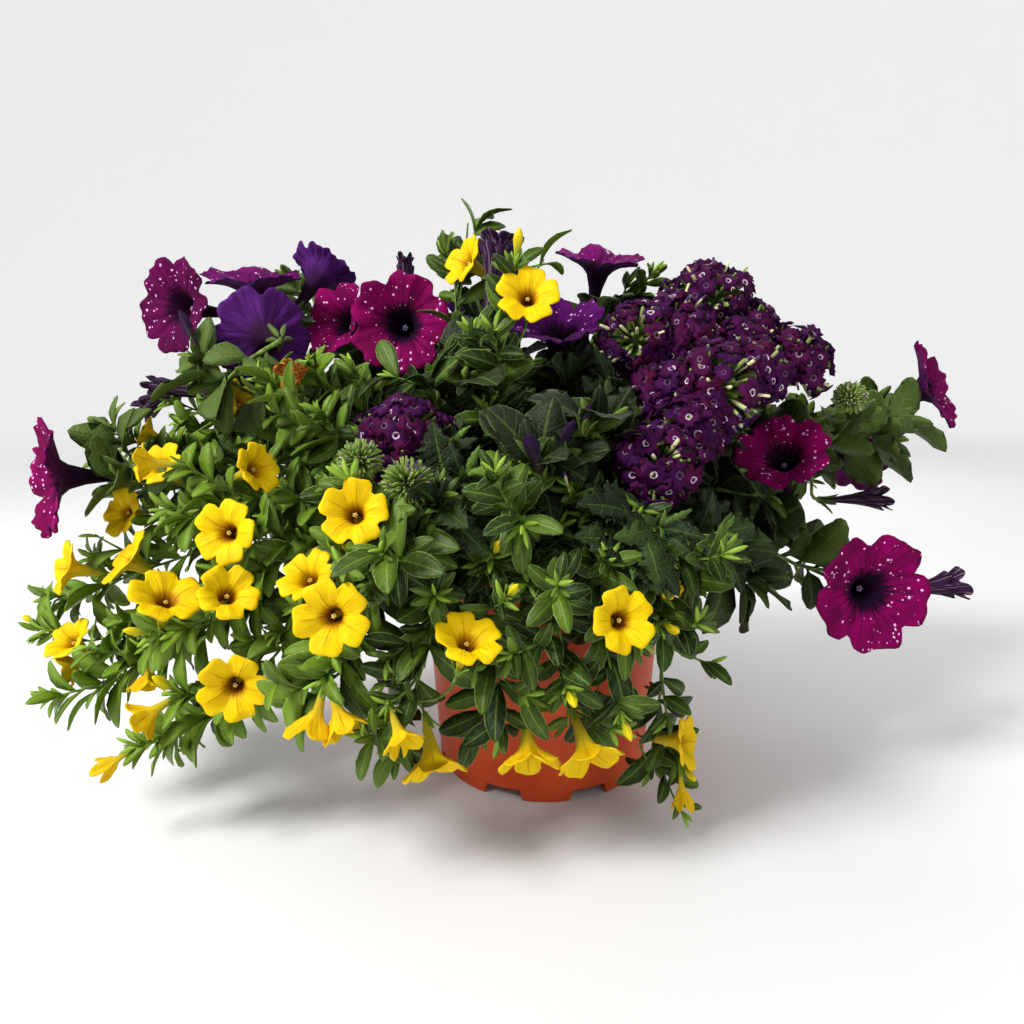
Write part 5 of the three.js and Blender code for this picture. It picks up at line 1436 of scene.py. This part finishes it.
def yellow_material():
    """Calibrachoa petals: clear yellow, golden-brown in the throat, with a darker line down the
    middle of each lobe and faint lines beside it. The underside is a duller gold."""
    paint, reach, inside, turn = petal_material("calibrachoa_petal", 0.6, 0.12)
    between, mix, times = paint.between, paint.mix, paint.times
    cloud, fray = paint.noise(110, 3), paint.rays(reach, turn, 50.0, 2.0)
    line = times(paint.ribs(turn, 5.0, 0.0, 0.003, 0.03), between(reach, 0.35, 1.0, 0.9, 0.1))
    lines = times(paint.ribs(turn, 35.0, cloud, 0.02, 0.12), between(reach, 0.3, 0.9, 0.4, 0.05))
    lines = paint.larger(line, lines)
    face = mix(between(cloud, 0.3, 0.7), (228, 188, 0), (242, 208, 6))
    face = mix(between(fray, 0.45, 0.75, 0, 0.4), face, (214, 164, 0))
    face = mix(lines, face, (176, 112, 2))
    face = mix(between(paint.frayed(reach, fray, 0.3), 0.22, 0.44, 1, 0), face, (160, 100, 8))
    face = mix(between(reach, 0.12, 0.3, 1, 0), face, (96, 54, 6))
    under = mix(between(cloud, 0.3, 0.7), (222, 174, 6), (240, 200, 20))
    under = mix(lines, under, (150, 122, 10))
    under = mix(between(reach, 0.1, 0.4, 1, 0), under, (186, 168, 40))
    paint.cover(mix(inside, under, face))
    paint.bump(paint.minus(paint.rays(reach, turn, 70.0, 3.0), times(line, 1.2)), 0.5)
    return paint.made


def floret_material():
    """Verbena florets: plum to deep violet, each its own tone, with a small white ring round a
    dark eye, and a cream-green tube below."""
    paint, reach, inside, _ = petal_material("verbena_petal", 0.75, 0.1)
    between, mix, traits = paint.between, paint.mix, paint.layer("Traits")
    plum = mix(traits[0], (62, 2, 38), (44, 6, 56))
    plum = mix(between(paint.noise(220, 1), 0.3, 0.8, 0, 0.6), plum, (84, 16, 78))
    ring = paint.times(between(reach, 0.22, 0.255, 1, 0), between(traits[1], 0.3, 0.7, 0.12, 1.0))
    petal = mix(ring, plum, (236, 214, 232))
    petal = mix(between(reach, 0.165, 0.19, 1, 0), petal, (40, 26, 30))
    under = mix(between(reach, 0.16, 0.45), (176, 180, 110), (62, 20, 70))
    paint.cover(mix(inside, under, petal))
    paint.bump(paint.noise(800, 0), 0.25)
    return paint.made


def spent_material():
    """Spent petunias: dark purple-brown, shrivelled, with pale stripes along the tube."""
    paint, reach, _, turn = petal_material("petunia_spent", 0.75, 0.12)
    lines = paint.rays(reach, turn, 38.0, 1.2)
    dark = paint.mix(paint.noise(150, 3), (24, 12, 30), (58, 28, 66))
    paint.cover(paint.mix(paint.between(lines, 0.54, 0.62, 0, 0.7), dark, (140, 114, 128)))
    paint.bump(lines, 0.9, 1 * MM)
    return paint.made


def dried_material():
    """Dried petals: orange-brown and papery, darker in their creases."""
    paint, reach, _, turn = petal_material("dried_petal", 0.8, 0.15)
    creases = paint.rays(reach, turn, 40.0, 3.0)
    paint.cover(paint.mix(paint.between(creases, 0.35, 0.65), (112, 52, 14), (204, 128, 40)))
    paint.bump(creases, 1.0, 1 * MM)
    return paint.made


def furled_material(name, green, tip):
    """A furled bud: green at its foot and the petal's colour at its tip, in twisted stripes."""
    paint = Material(name, Roughness=0.65, Specular_IOR_Level=0.15)
    place = paint.layer("Place")
    stripes = paint.ribs(place[1], 5.0, place[0], 0.05, 0.3)
    share = paint.plus(place[0], paint.times(stripes, 0.25))
    paint.cover(paint.mix(paint.between(share, 0.2, 0.95), green, tip))
    paint.bump(stripes, 0.4)
    return paint.made


def calyx_material():
    """Calyxes and tubes of a verbena head: green at the foot, cream towards the tip, and half of
    the pale tubes with a closed violet end."""
    paint = Material("verbena_calyx", Roughness=0.6)
    between, mix = paint.between, paint.mix
    place, traits = paint.layer("Place"), paint.layer("Traits")
    green = mix(traits[0], (60, 88, 24), (110, 136, 48))
    tip = mix(between(traits[1], 0.55, 0.8), (122, 148, 62), (222, 220, 164))
    closed = paint.times(between(place[0], 0.78, 0.86),
                         paint.times(between(traits[0], 0.45, 0.55), between(traits[1], 0.5, 0.6)))
    paint.cover(mix(closed, mix(between(place[0], 0.2, 0.7), green, tip), (76, 34, 92)))
    return paint.made


def anther_material():
    """Anthers and stigma: pale violet-grey in petunias, golden in calibrachoas."""
    paint = Material("anther", Roughness=0.7)
    paint.cover(paint.mix(paint.layer("Traits")[1], (150, 140, 170), (236, 206, 110)))
    return paint.made


def pot_material():
    """Injection-moulded plastic: terracotta orange, slightly cloudy, with a fine grain, faint
    upright scuffs and a few pale scratches here and there on the pot."""
    paint = Material("pot_plastic", Specular_IOR_Level=0.3)
    between, mix, where = paint.between, paint.mix, paint.spots()
    stretch = paint.node("ShaderNodeMapping", Vector=where)
    stretch.inputs["Scale"].default_value = (60, 60, 9)
    scuffs = paint.node("ShaderNodeTexNoise", Scale=3.0, Detail=4.0, Vector=stretch.outputs[0]).outputs[0]
    chips = paint.node("ShaderNodeTexVoronoi", Scale=42.0, Vector=where)
    pale = paint.times(between(chips.outputs["Distance"], 0.03, 0.06, 1, 0),
                       between(paint.noise(40, 2), 0.58, 0.66))
    colour = mix(between(paint.noise(14, 3), 0.3, 0.7), (196, 66, 20), (212, 80, 30))
    colour = mix(between(scuffs, 0.6, 0.8, 0, 0.3), colour, (214, 124, 96))
    paint.cover(mix(pale, colour, (240, 226, 214)))
    paint.cover(between(paint.noise(300, 4), 0.3, 0.7, 0.36, 0.5), "Roughness")
    paint.bump(paint.plus(paint.noise(900, 3), scuffs), 0.12)
    return paint.made


def soil_material():
    """Peat and bark: dark browns in crumbs, with a few paler chips."""
    paint = Material("soil", Roughness=0.95)
    crumbs = paint.node("ShaderNodeTexVoronoi", Scale=260.0, Vector=paint.spots())
    parts = paint.node("ShaderNodeSeparateColor")
    paint.feed(parts.inputs[0], crumbs.outputs["Color"])
    chips = paint.combine("GREATER_THAN", parts.outputs[1], 0.93)
    paint.cover(paint.mix(chips, paint.mix(parts.outputs[0], (34, 24, 18), (74, 52, 36)), (150, 126, 96)))
    paint.bump(crumbs.outputs["Distance"], 0.8, 2 * MM)
    return paint.made


def backdrop_material():
    """Matt white paper, lit up from behind where it is far from the plant. The plant doesn't
    get that light."""
    paint = Material("floor_paper", Base_Color=(0.8, 0.8, 0.8, 1), Roughness=0.9,
                     Emission_Color=(1, 1, 1, 1))
    away = paint.node("ShaderNodeVectorMath", operation="LENGTH")
    paint.feed(away.inputs[0], paint.spots())
    to_camera = paint.node("ShaderNodeLightPath").outputs["Is Camera Ray"]
    glow = paint.times(paint.between(away.outputs["Value"], 0.6, 3.2, 0, 0.42), to_camera)
    paint.cover(glow, "Emission Strength")
    paint.made.cycles.emission_sampling = "NONE"
    return paint.made


LEAF = {kind: leaf_material(kind) for kind in LEAF_LOOKS}
STEM = {kind: stem_material(kind) for kind in STEM_LOOKS}
BUD = {"calibrachoa": furled_material("calibrachoa_bud", (128, 150, 40), (228, 204, 20)),
       "petunia": furled_material("petunia_bud", (64, 54, 48), (38, 10, 52)),
       "verbena": calyx_material()}
PLANT_MATERIALS = {kind: [LEAF[kind], STEM[kind], BUD[kind]] for kind in LEAF}
PETAL = {"petunia": petunia_material(), "calibrachoa": yellow_material(), "verbena": floret_material(),
         "wilted": spent_material(), "dried": dried_material()}
ANTHER = anther_material()


# The pieces

def settle(cloth, name, materials, slot, *nodes):
    """Makes a cloth's piece ride with the plant and stand for its nodes, which it hides.
    The slot is not used.
    """
    piece = cloth.piece(name, materials)
    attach(piece, "root")
    if nodes:
        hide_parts(*nodes)


BLOOM_KINDS = {f"petunia_bloom_{index:02d}": "petunia" for index in range(1, 17)}
BLOOM_KINDS |= {f"yellow_bloom_{index:02d}": "calibrachoa" for index in range(1, 23)}
BLOOMS = {name: read_bloom(name) for name in BLOOM_KINDS}
for name, face in (("petunia_bloom_01", (-0.45, -0.88, 0.1)), ("petunia_bloom_07", (-0.76, -0.65, 0.05))):
    BLOOMS[name]["face"] = unit(np.array(face))
DOMES = {name: read_dome(name) for name in (f"verbena_heads_{index}" for index in range(1, 8))}

# What the plants leave for the pieces after them: their stems' points, the middles of their added
# leaves and the tips of their sprigs
STEM_SPOTS = {name: [] for name in PLANTS}
LEAF_MIDDLES = []
SPRIG_TIPS = {kind: [] for kind in LEAVES}

# How violet each petunia is, from 0 for magenta to 1 for violet, how deep a painted shade darkens
# those that lie in shade, and which one has wilted
PETUNIA_TONES = [0.5, 0.65, 0.95, 1.0, 0.1, 0.35, 0.15, 1.0, 0.6, 0.85, 0.2, 0.45, 0.05, 0.4, 0.7, 0.3]
SHADED_BLOOMS = {"petunia_bloom_01": 0.9}
WILTED_BLOOM = "petunia_bloom_08"
SPENT_TRAITS = [0.95, 0.5]

# Small and half-open yellow blooms at sprig tips: place in the picture, the way each faces, its
# radius and length and how far it hangs as a bell (mm)
SMALL_BLOOMS = [
    (178, 480, (-1.0, -0.3, 0.1), 9, 19, 1), (105, 652, (-0.8, -0.5, -0.3), 10, 20, 2),
    (148, 655, (0.1, -0.5, -1.0), 9, 18, 3), (190, 680, (-0.8, -0.4, -0.5), 10, 19, 3),
    (262, 655, (0.0, -0.2, -1.0), 6, 20, 6), (308, 680, (-0.2, -0.4, -0.8), 11, 20, 5),
    (337, 712, (0.4, -0.4, -0.8), 10, 20, 5), (385, 706, (0.4, -0.6, -0.6), 9, 18, 3),
    (157, 740, (-0.8, -0.2, -0.5), 6, 17, 5), (650, 782, (0.1, -0.1, -1.0), 6, 19, 5),
    (672, 583, (0.3, -0.7, 0.6), 7, 12, 0), (178, 442, (-0.7, -0.4, 0.4), 10, 18, 0)]

# Dried blooms: place in the picture, the way each faces, its radius, length and bell (mm)
DRIED_BLOOMS = [(302, 362, (-0.5, -0.6, -0.2), 8, 13, 4), (300, 516, (-0.2, -0.8, -0.3), 5.5, 9, 4)]

# The wilted petunia that still stands: its foot's place in the picture and its depth behind the
# pot's axis (mm), the way it points, and its radius, length and bell (mm)
STANDING_WILTED = ((486, 324, -34), (0.19, 0.1, 1.0), 11.5, 42, 1)

# Furled petunia buds: place of the foot in the picture, the way each points and how far it is
# grown. Fallen verbena tubes: place in the picture and the way each lies. Shoots behind the
# heads: place of the tip in the picture and its depth (mm)
FURLED_BUDS = [(546, 484, (0.0, -0.35, 1.0), 1.0), (572, 432, (-0.2, -0.4, 1.0), 0.5)]
FALLEN_TUBES = [(603, 484, (0.1, -0.2, -1.0)), (611, 506, (0.5, -0.2, -0.8)), (570, 505, (-0.3, -0.2, 1.0))]
SHOOTS = [(652, 272, 40), (628, 282, 52), (694, 292, 62)]


def make_plants():
    """Each plant's stems and leaves, and the wilted trumpets that it carries."""
    for index, name in enumerate(PLANTS):
        kind = name.split("_")[0]
        cloth, spent = grow_plant(name, kind, SEEDS["plants"] + index)
        settle(cloth, f"{name}_foliage", PLANT_MATERIALS[kind], f"{kind}_leaf", name)
        if spent:
            wilted, rng = Cloth(), np.random.default_rng(SEEDS["spent"] + index)
            for bloom in spent:
                add_trumpet(wilted, bloom, "wilted", SPENT_TRAITS, rng)
            settle(wilted, f"{name}_spent_blooms", [PETAL["wilted"]], "petunia_petal")


def make_blooms():
    """Each full bloom's trumpet and throat."""
    for index, (name, kind) in enumerate(BLOOM_KINDS.items()):
        rng = np.random.default_rng(SEEDS["blooms"] + index)
        tone = PETUNIA_TONES[index] if kind == "petunia" else rng.uniform()
        # A painted shade on the blooms that lie in shade; the others are only a little darker
        darkness = SHADED_BLOOMS.get(name, 0.15) * rng.uniform(0.8, 1)
        look = "wilted" if name == WILTED_BLOOM else kind
        cloth = Cloth()
        add_trumpet(cloth, BLOOMS[name], look, [tone, darkness], rng)
        add_throat(cloth, BLOOMS[name], kind)
        settle(cloth, f"{name}_petals", [PETAL[look], ANTHER], f"{kind}_petal", name)


def make_small_blooms():
    """The small yellow blooms with their calyxes, and the dried ones."""
    fresh, dried = Cloth(), Cloth()
    for index, (across, down, axis, *sizes) in enumerate(SMALL_BLOOMS):
        rng = np.random.default_rng(SEEDS["small"] + index)
        bloom = small_bloom(nearest_tip("calibrachoa", across, down), axis, *sizes)
        add_trumpet(fresh, bloom, "calibrachoa", [rng.uniform(), rng.uniform()], rng)
        add_calyx(fresh, bloom["foot"], bloom["axis"], "calibrachoa", rng, 1.0, 1)
    for index, (across, down, axis, *sizes) in enumerate(DRIED_BLOOMS):
        bloom = small_bloom(nearest_tip("calibrachoa", across, down), axis, *sizes)
        add_trumpet(dried, bloom, "wilted", [0.5, 0.5], np.random.default_rng(SEEDS["dried"] + index))
    settle(fresh, "calibrachoa_small_blooms", [PETAL["calibrachoa"], LEAF["calibrachoa"]],
           "calibrachoa_petal")
    settle(dried, "dried_blooms", [PETAL["dried"]], "calibrachoa_petal")


def make_standing_wilted():
    """The wilted petunia that still stands, with its calyx and stem."""
    place, axis, *sizes = STANDING_WILTED
    cloth, rng = Cloth(), np.random.default_rng(SEEDS["wilted"])
    bloom = small_bloom(spot_behind(*place), axis, *sizes)
    bloom["scale"] = 1.15
    foot, axis = bloom["foot"], bloom["axis"]
    add_trumpet(cloth, bloom, "wilted", SPENT_TRAITS, rng)
    add_calyx(cloth, foot, axis, "petunia", rng, 1.1, 1)
    add_stalk(cloth, stem_near(foot - axis * 30 * MM), -axis * 4 * MM, foot, 4 * MM, (1.0, 1.0), 2)
    settle(cloth, "petunia_wilted_bloom", [PETAL["wilted"], LEAF["petunia"], STEM["petunia"]],
           "petunia_petal")


def make_buds_and_tubes():
    """Furled petunia buds on short stalks in front of the leaves, and verbena tubes that have
    fallen on the leaves."""
    cloth, rng = Cloth(), np.random.default_rng(SEEDS["buds"])
    for across, down, way, grown in FURLED_BUDS:
        foot, way = front_leaf(across, down) + [0, -8 * MM, 0], unit(np.array(way))
        add_bud(cloth, foot, way, "petunia", rng, 1.5, grown)
        add_stalk(cloth, stem_near(foot), -way * 3 * MM, foot, 4 * MM, (0.8, 0.8), 1)
    settle(cloth, "petunia_furled_buds", PLANT_MATERIALS["petunia"], "petunia_petal")
    cloth = Cloth()
    ways = unit(np.array([way for _, _, way in FALLEN_TUBES]))
    spots = np.array([front_leaf(across, down) for across, down, _ in FALLEN_TUBES])
    add_spears(cloth, spots + [0, -1.2 * MM, 0], ways * 12 * MM, 0.7 * MM, np.ones(len(ways)), 0, rng)
    settle(cloth, "verbena_fallen_tubes", [BUD["verbena"]], "verbena_petal")


def make_shoots():
    """Leafy shoots that stand up behind the heads."""
    cloth, blades = Cloth(), []
    rng = np.random.default_rng(SEEDS["shoots"])
    for place in SHOOTS:
        top = spot_behind(*place)
        root = stem_near(top - np.array([0, 0, 35 * MM]))
        sag = np.array([2 * MM, 4 * MM, -2 * MM])
        line, heading = add_stalk(cloth, root, sag, top, 5 * MM, (1.1, 0.6), 1, sides=5)
        blades.append(leafage(line, heading, "calibrachoa", "sprig", rng))
    add_extra_leaves(cloth, blades, "calibrachoa", rng)
    settle(cloth, "shoots_behind_heads", PLANT_MATERIALS["calibrachoa"], "calibrachoa_leaf")


def make_heads():
    """The bunches of verbena heads, and on stalks the heads that stand between them."""
    for index, (name, bare) in enumerate(zip(DOMES, BARE_PLACES)):
        cloth = grow_heads(read_florets(name), DOMES[name], bare, SEEDS["heads"] + index, HEAD_FLORETS)
        settle(cloth, f"{name}_florets", [PETAL["verbena"], BUD["verbena"]], "verbena_petal", name)
    for index, numbers in enumerate(HEADS_BETWEEN):
        near = [DOMES[f"verbena_heads_{number}"] for number in numbers]
        facing = unit(sum(dome[2] for dome in near))
        centre = sum(dome[0] for dome in near) / len(near) - facing * 3 * MM
        dome = (centre, SMALL_DOME, facing, 0.1)
        cloth = grow_heads(None, dome, None, SEEDS["between"] + index, FLORETS_BETWEEN)
        root = stem_near(centre - facing * 30 * MM, ["verbena_right"])
        add_stalk(cloth, root, -facing * 4 * MM, centre, 5 * MM, (0.9, 0.9), 2)
        settle(cloth, f"verbena_heads_between_{index + 1}",
               [PETAL["verbena"], BUD["verbena"], STEM["verbena"]], "verbena_petal")


def turned_cloth(profile, sides):
    """A closed surface turned round the pot's axis: rows of a radius and a height (mm), each one
    number or one for every side, between a pole at each end of which only the height counts."""
    turn = circle(sides)
    radii, heights = (np.array([np.broadcast_to(row[part], sides) for row in profile]) for part in (0, 1))
    grid = np.stack([radii * np.cos(turn), radii * np.sin(turn), heights], axis=-1)
    poles = np.array([[0, 0, heights[0, 0]], [0, 0, heights[-1, 0]]])
    cloth = Cloth()
    add_tubes(cloth, grid[None, 1:-1] * MM, poles[None] * MM, [0, 0], np.zeros((1, 2)), 0)
    return cloth


def make_pot():
    """The pot as one closed surface: a profile carried round the axis, from the middle of the
    base panel's underside out to the skirt, over the foot's edge, up the outside, over the rim
    band and down the inside to the panel's upper face. The skirt's lower edge rises at notches."""
    sides = 240
    skirt, wall, panel = POT["skirt"], POT["wall"], POT["skirt"] + POT["floor"]
    base, rim, top, band = POT["base"], POT["rim"], POT["height"], POT["height"] - POT["rim_height"]
    half = POT["notch_width"] / 2 / base
    apart = (circle(sides) / FULL_TURN * POT["notches"]) % 1 - 0.5
    off = np.abs(apart) * FULL_TURN / POT["notches"]
    foot = np.clip((half - off) / 0.02, 0, 1) * (skirt - 0.6)
    profile = [(radius, skirt) for radius in (0, 20, 40, pot_radius(skirt) - wall - 0.8)]
    profile += [(radius, foot + share * (skirt - foot)) for radius, share in (
        (pot_radius(skirt) - wall, 0.8), (base - wall, 0.1), (base - wall + 0.5, 0.0),
        (base - 0.5, 0.0), (base, 0.1))]
    profile += [(pot_radius(z), z) for z in (skirt + 0.4, skirt + 1.0, 20, 40, 60, 80, 96, band - 3)]
    profile += [(pot_radius(band) + 0.1, band - 0.6), (rim - 0.4, band + 0.3), (rim, band + 0.9),
                (rim, top - 4), (rim, top - 0.6), (rim - 0.4, top), (rim - wall + 0.4, top),
                (rim - wall, top - 0.6), (rim - wall, band + 1.5), (pot_radius(band) - wall, band),
                (pot_radius(60) - wall, 60), (pot_radius(panel) - wall, panel + 0.6),
                (pot_radius(panel) - wall - 0.8, panel), (40, panel), (20, panel), (0, panel)]
    settle(turned_cloth(profile, sides), "pot_moulded", [pot_material()], "pot", "pot")


def make_soil():
    """The growing medium: a disc that is crowned and crumbly on top, with a plain side and foot
    inside the pot's wall."""
    rng = np.random.default_rng(SEEDS["soil"])
    sides, top, gap = 120, 113.0, 2.8
    foot = POT["skirt"] + POT["floor"] + 0.3
    profile = [(0, foot), (20, foot), (40, foot), (pot_radius(foot) - gap, foot), (pot_radius(60) - gap, 60)]
    edge = pot_radius(top) - 2.9
    for part in np.linspace(1, 0.02, 40):
        crumbs = 0.9 * rng.uniform(-1, 1, sides) * (part < 0.98)
        profile.append((edge * part, top - 1 + 4 * (1 - part ** 2) + crumbs))
    profile.append((0, top + 3))
    settle(turned_cloth(profile, sides), "soil_peat", [soil_material()], "soil", "soil")


make_plants()
make_blooms()
make_small_blooms()
make_standing_wilted()
make_buds_and_tubes()
make_shoots()
make_heads()
make_pot()
make_soil()


# The studio: floor, light and camera

PLANT_MIDDLE = np.array([0, 0, 0.16])


def make_floor():
    """A wide pale floor that curves up far away into a plain backdrop, so that no edge shows:
    a flat line, a quarter circle and an upright line (m), carried round the middle."""
    start, flat, radius, top, sides = 0.5, 3, 1.5, 6, 96
    bend = np.linspace(0, math.pi / 2, 13)
    curve = np.stack([flat + radius * np.sin(bend), radius - radius * np.cos(bend)], axis=1)
    profile = np.vstack([[(start, 0)], curve, [(flat + radius, top)]])
    turn = circle(sides)
    grid = np.stack([profile[:, :1] * np.cos(turn), profile[:, :1] * np.sin(turn),
                     np.repeat(profile[:, 1:], sides, axis=1)], axis=-1).reshape(-1, 3)
    faces = tube_faces(len(profile), sides)[:, ::-1].tolist() + [list(range(sides))]
    mesh = bpy.data.meshes.new("floor")
    mesh.from_pydata(grid.tolist(), [], faces)
    mesh.polygons.foreach_set("use_smooth", np.ones(len(faces), bool))
    mesh.materials.append(backdrop_material())
    add_object("floor", mesh)


def add_lamp(name, place, size, power):
    """A soft square lamp (m, W) that looks at the middle of the plant."""
    lamp = bpy.data.lights.new(name, "AREA")
    lamp.size, lamp.energy = size, power
    lit = add_object(name, lamp)
    lit.location = place
    way = PLANT_MIDDLE - np.array(place)
    pitch = math.atan2(math.hypot(way[0], way[1]), -way[2])
    lit.rotation_euler = (pitch, 0, math.atan2(-way[0], way[1]))


def make_studio():
    """The floor, three lamps and an even white sky, seen with plain screen colours."""
    make_floor()
    add_lamp("key", (-1.1, -0.75, 1.35), 0.55, 36)
    add_lamp("fill", (1.2, -1.1, 0.9), 1.2, 6)
    add_lamp("back", (0.3, 1.2, 1.2), 1.0, 10)
    world = bpy.data.worlds.new("studio")
    world.use_nodes = True
    sky = world.node_tree.nodes["Background"].inputs
    sky["Color"].default_value, sky["Strength"].default_value = (1, 1, 1, 1), 0.6
    bpy.context.scene.world = world
    bpy.context.scene.view_settings.view_transform = "Standard"


def make_camera():
    """The camera at the photograph's viewing angle."""
    lens = bpy.data.cameras.new("camera")
    lens.sensor_width = 36
    lens.lens = FOCAL / PICTURE_WIDTH * lens.sensor_width
    camera = add_object("camera", lens)
    camera.location = EYE
    camera.rotation_euler = (math.pi / 2 - CAMERA_PITCH, 0, 0)
    bpy.context.scene.camera = camera


make_studio()
make_camera()
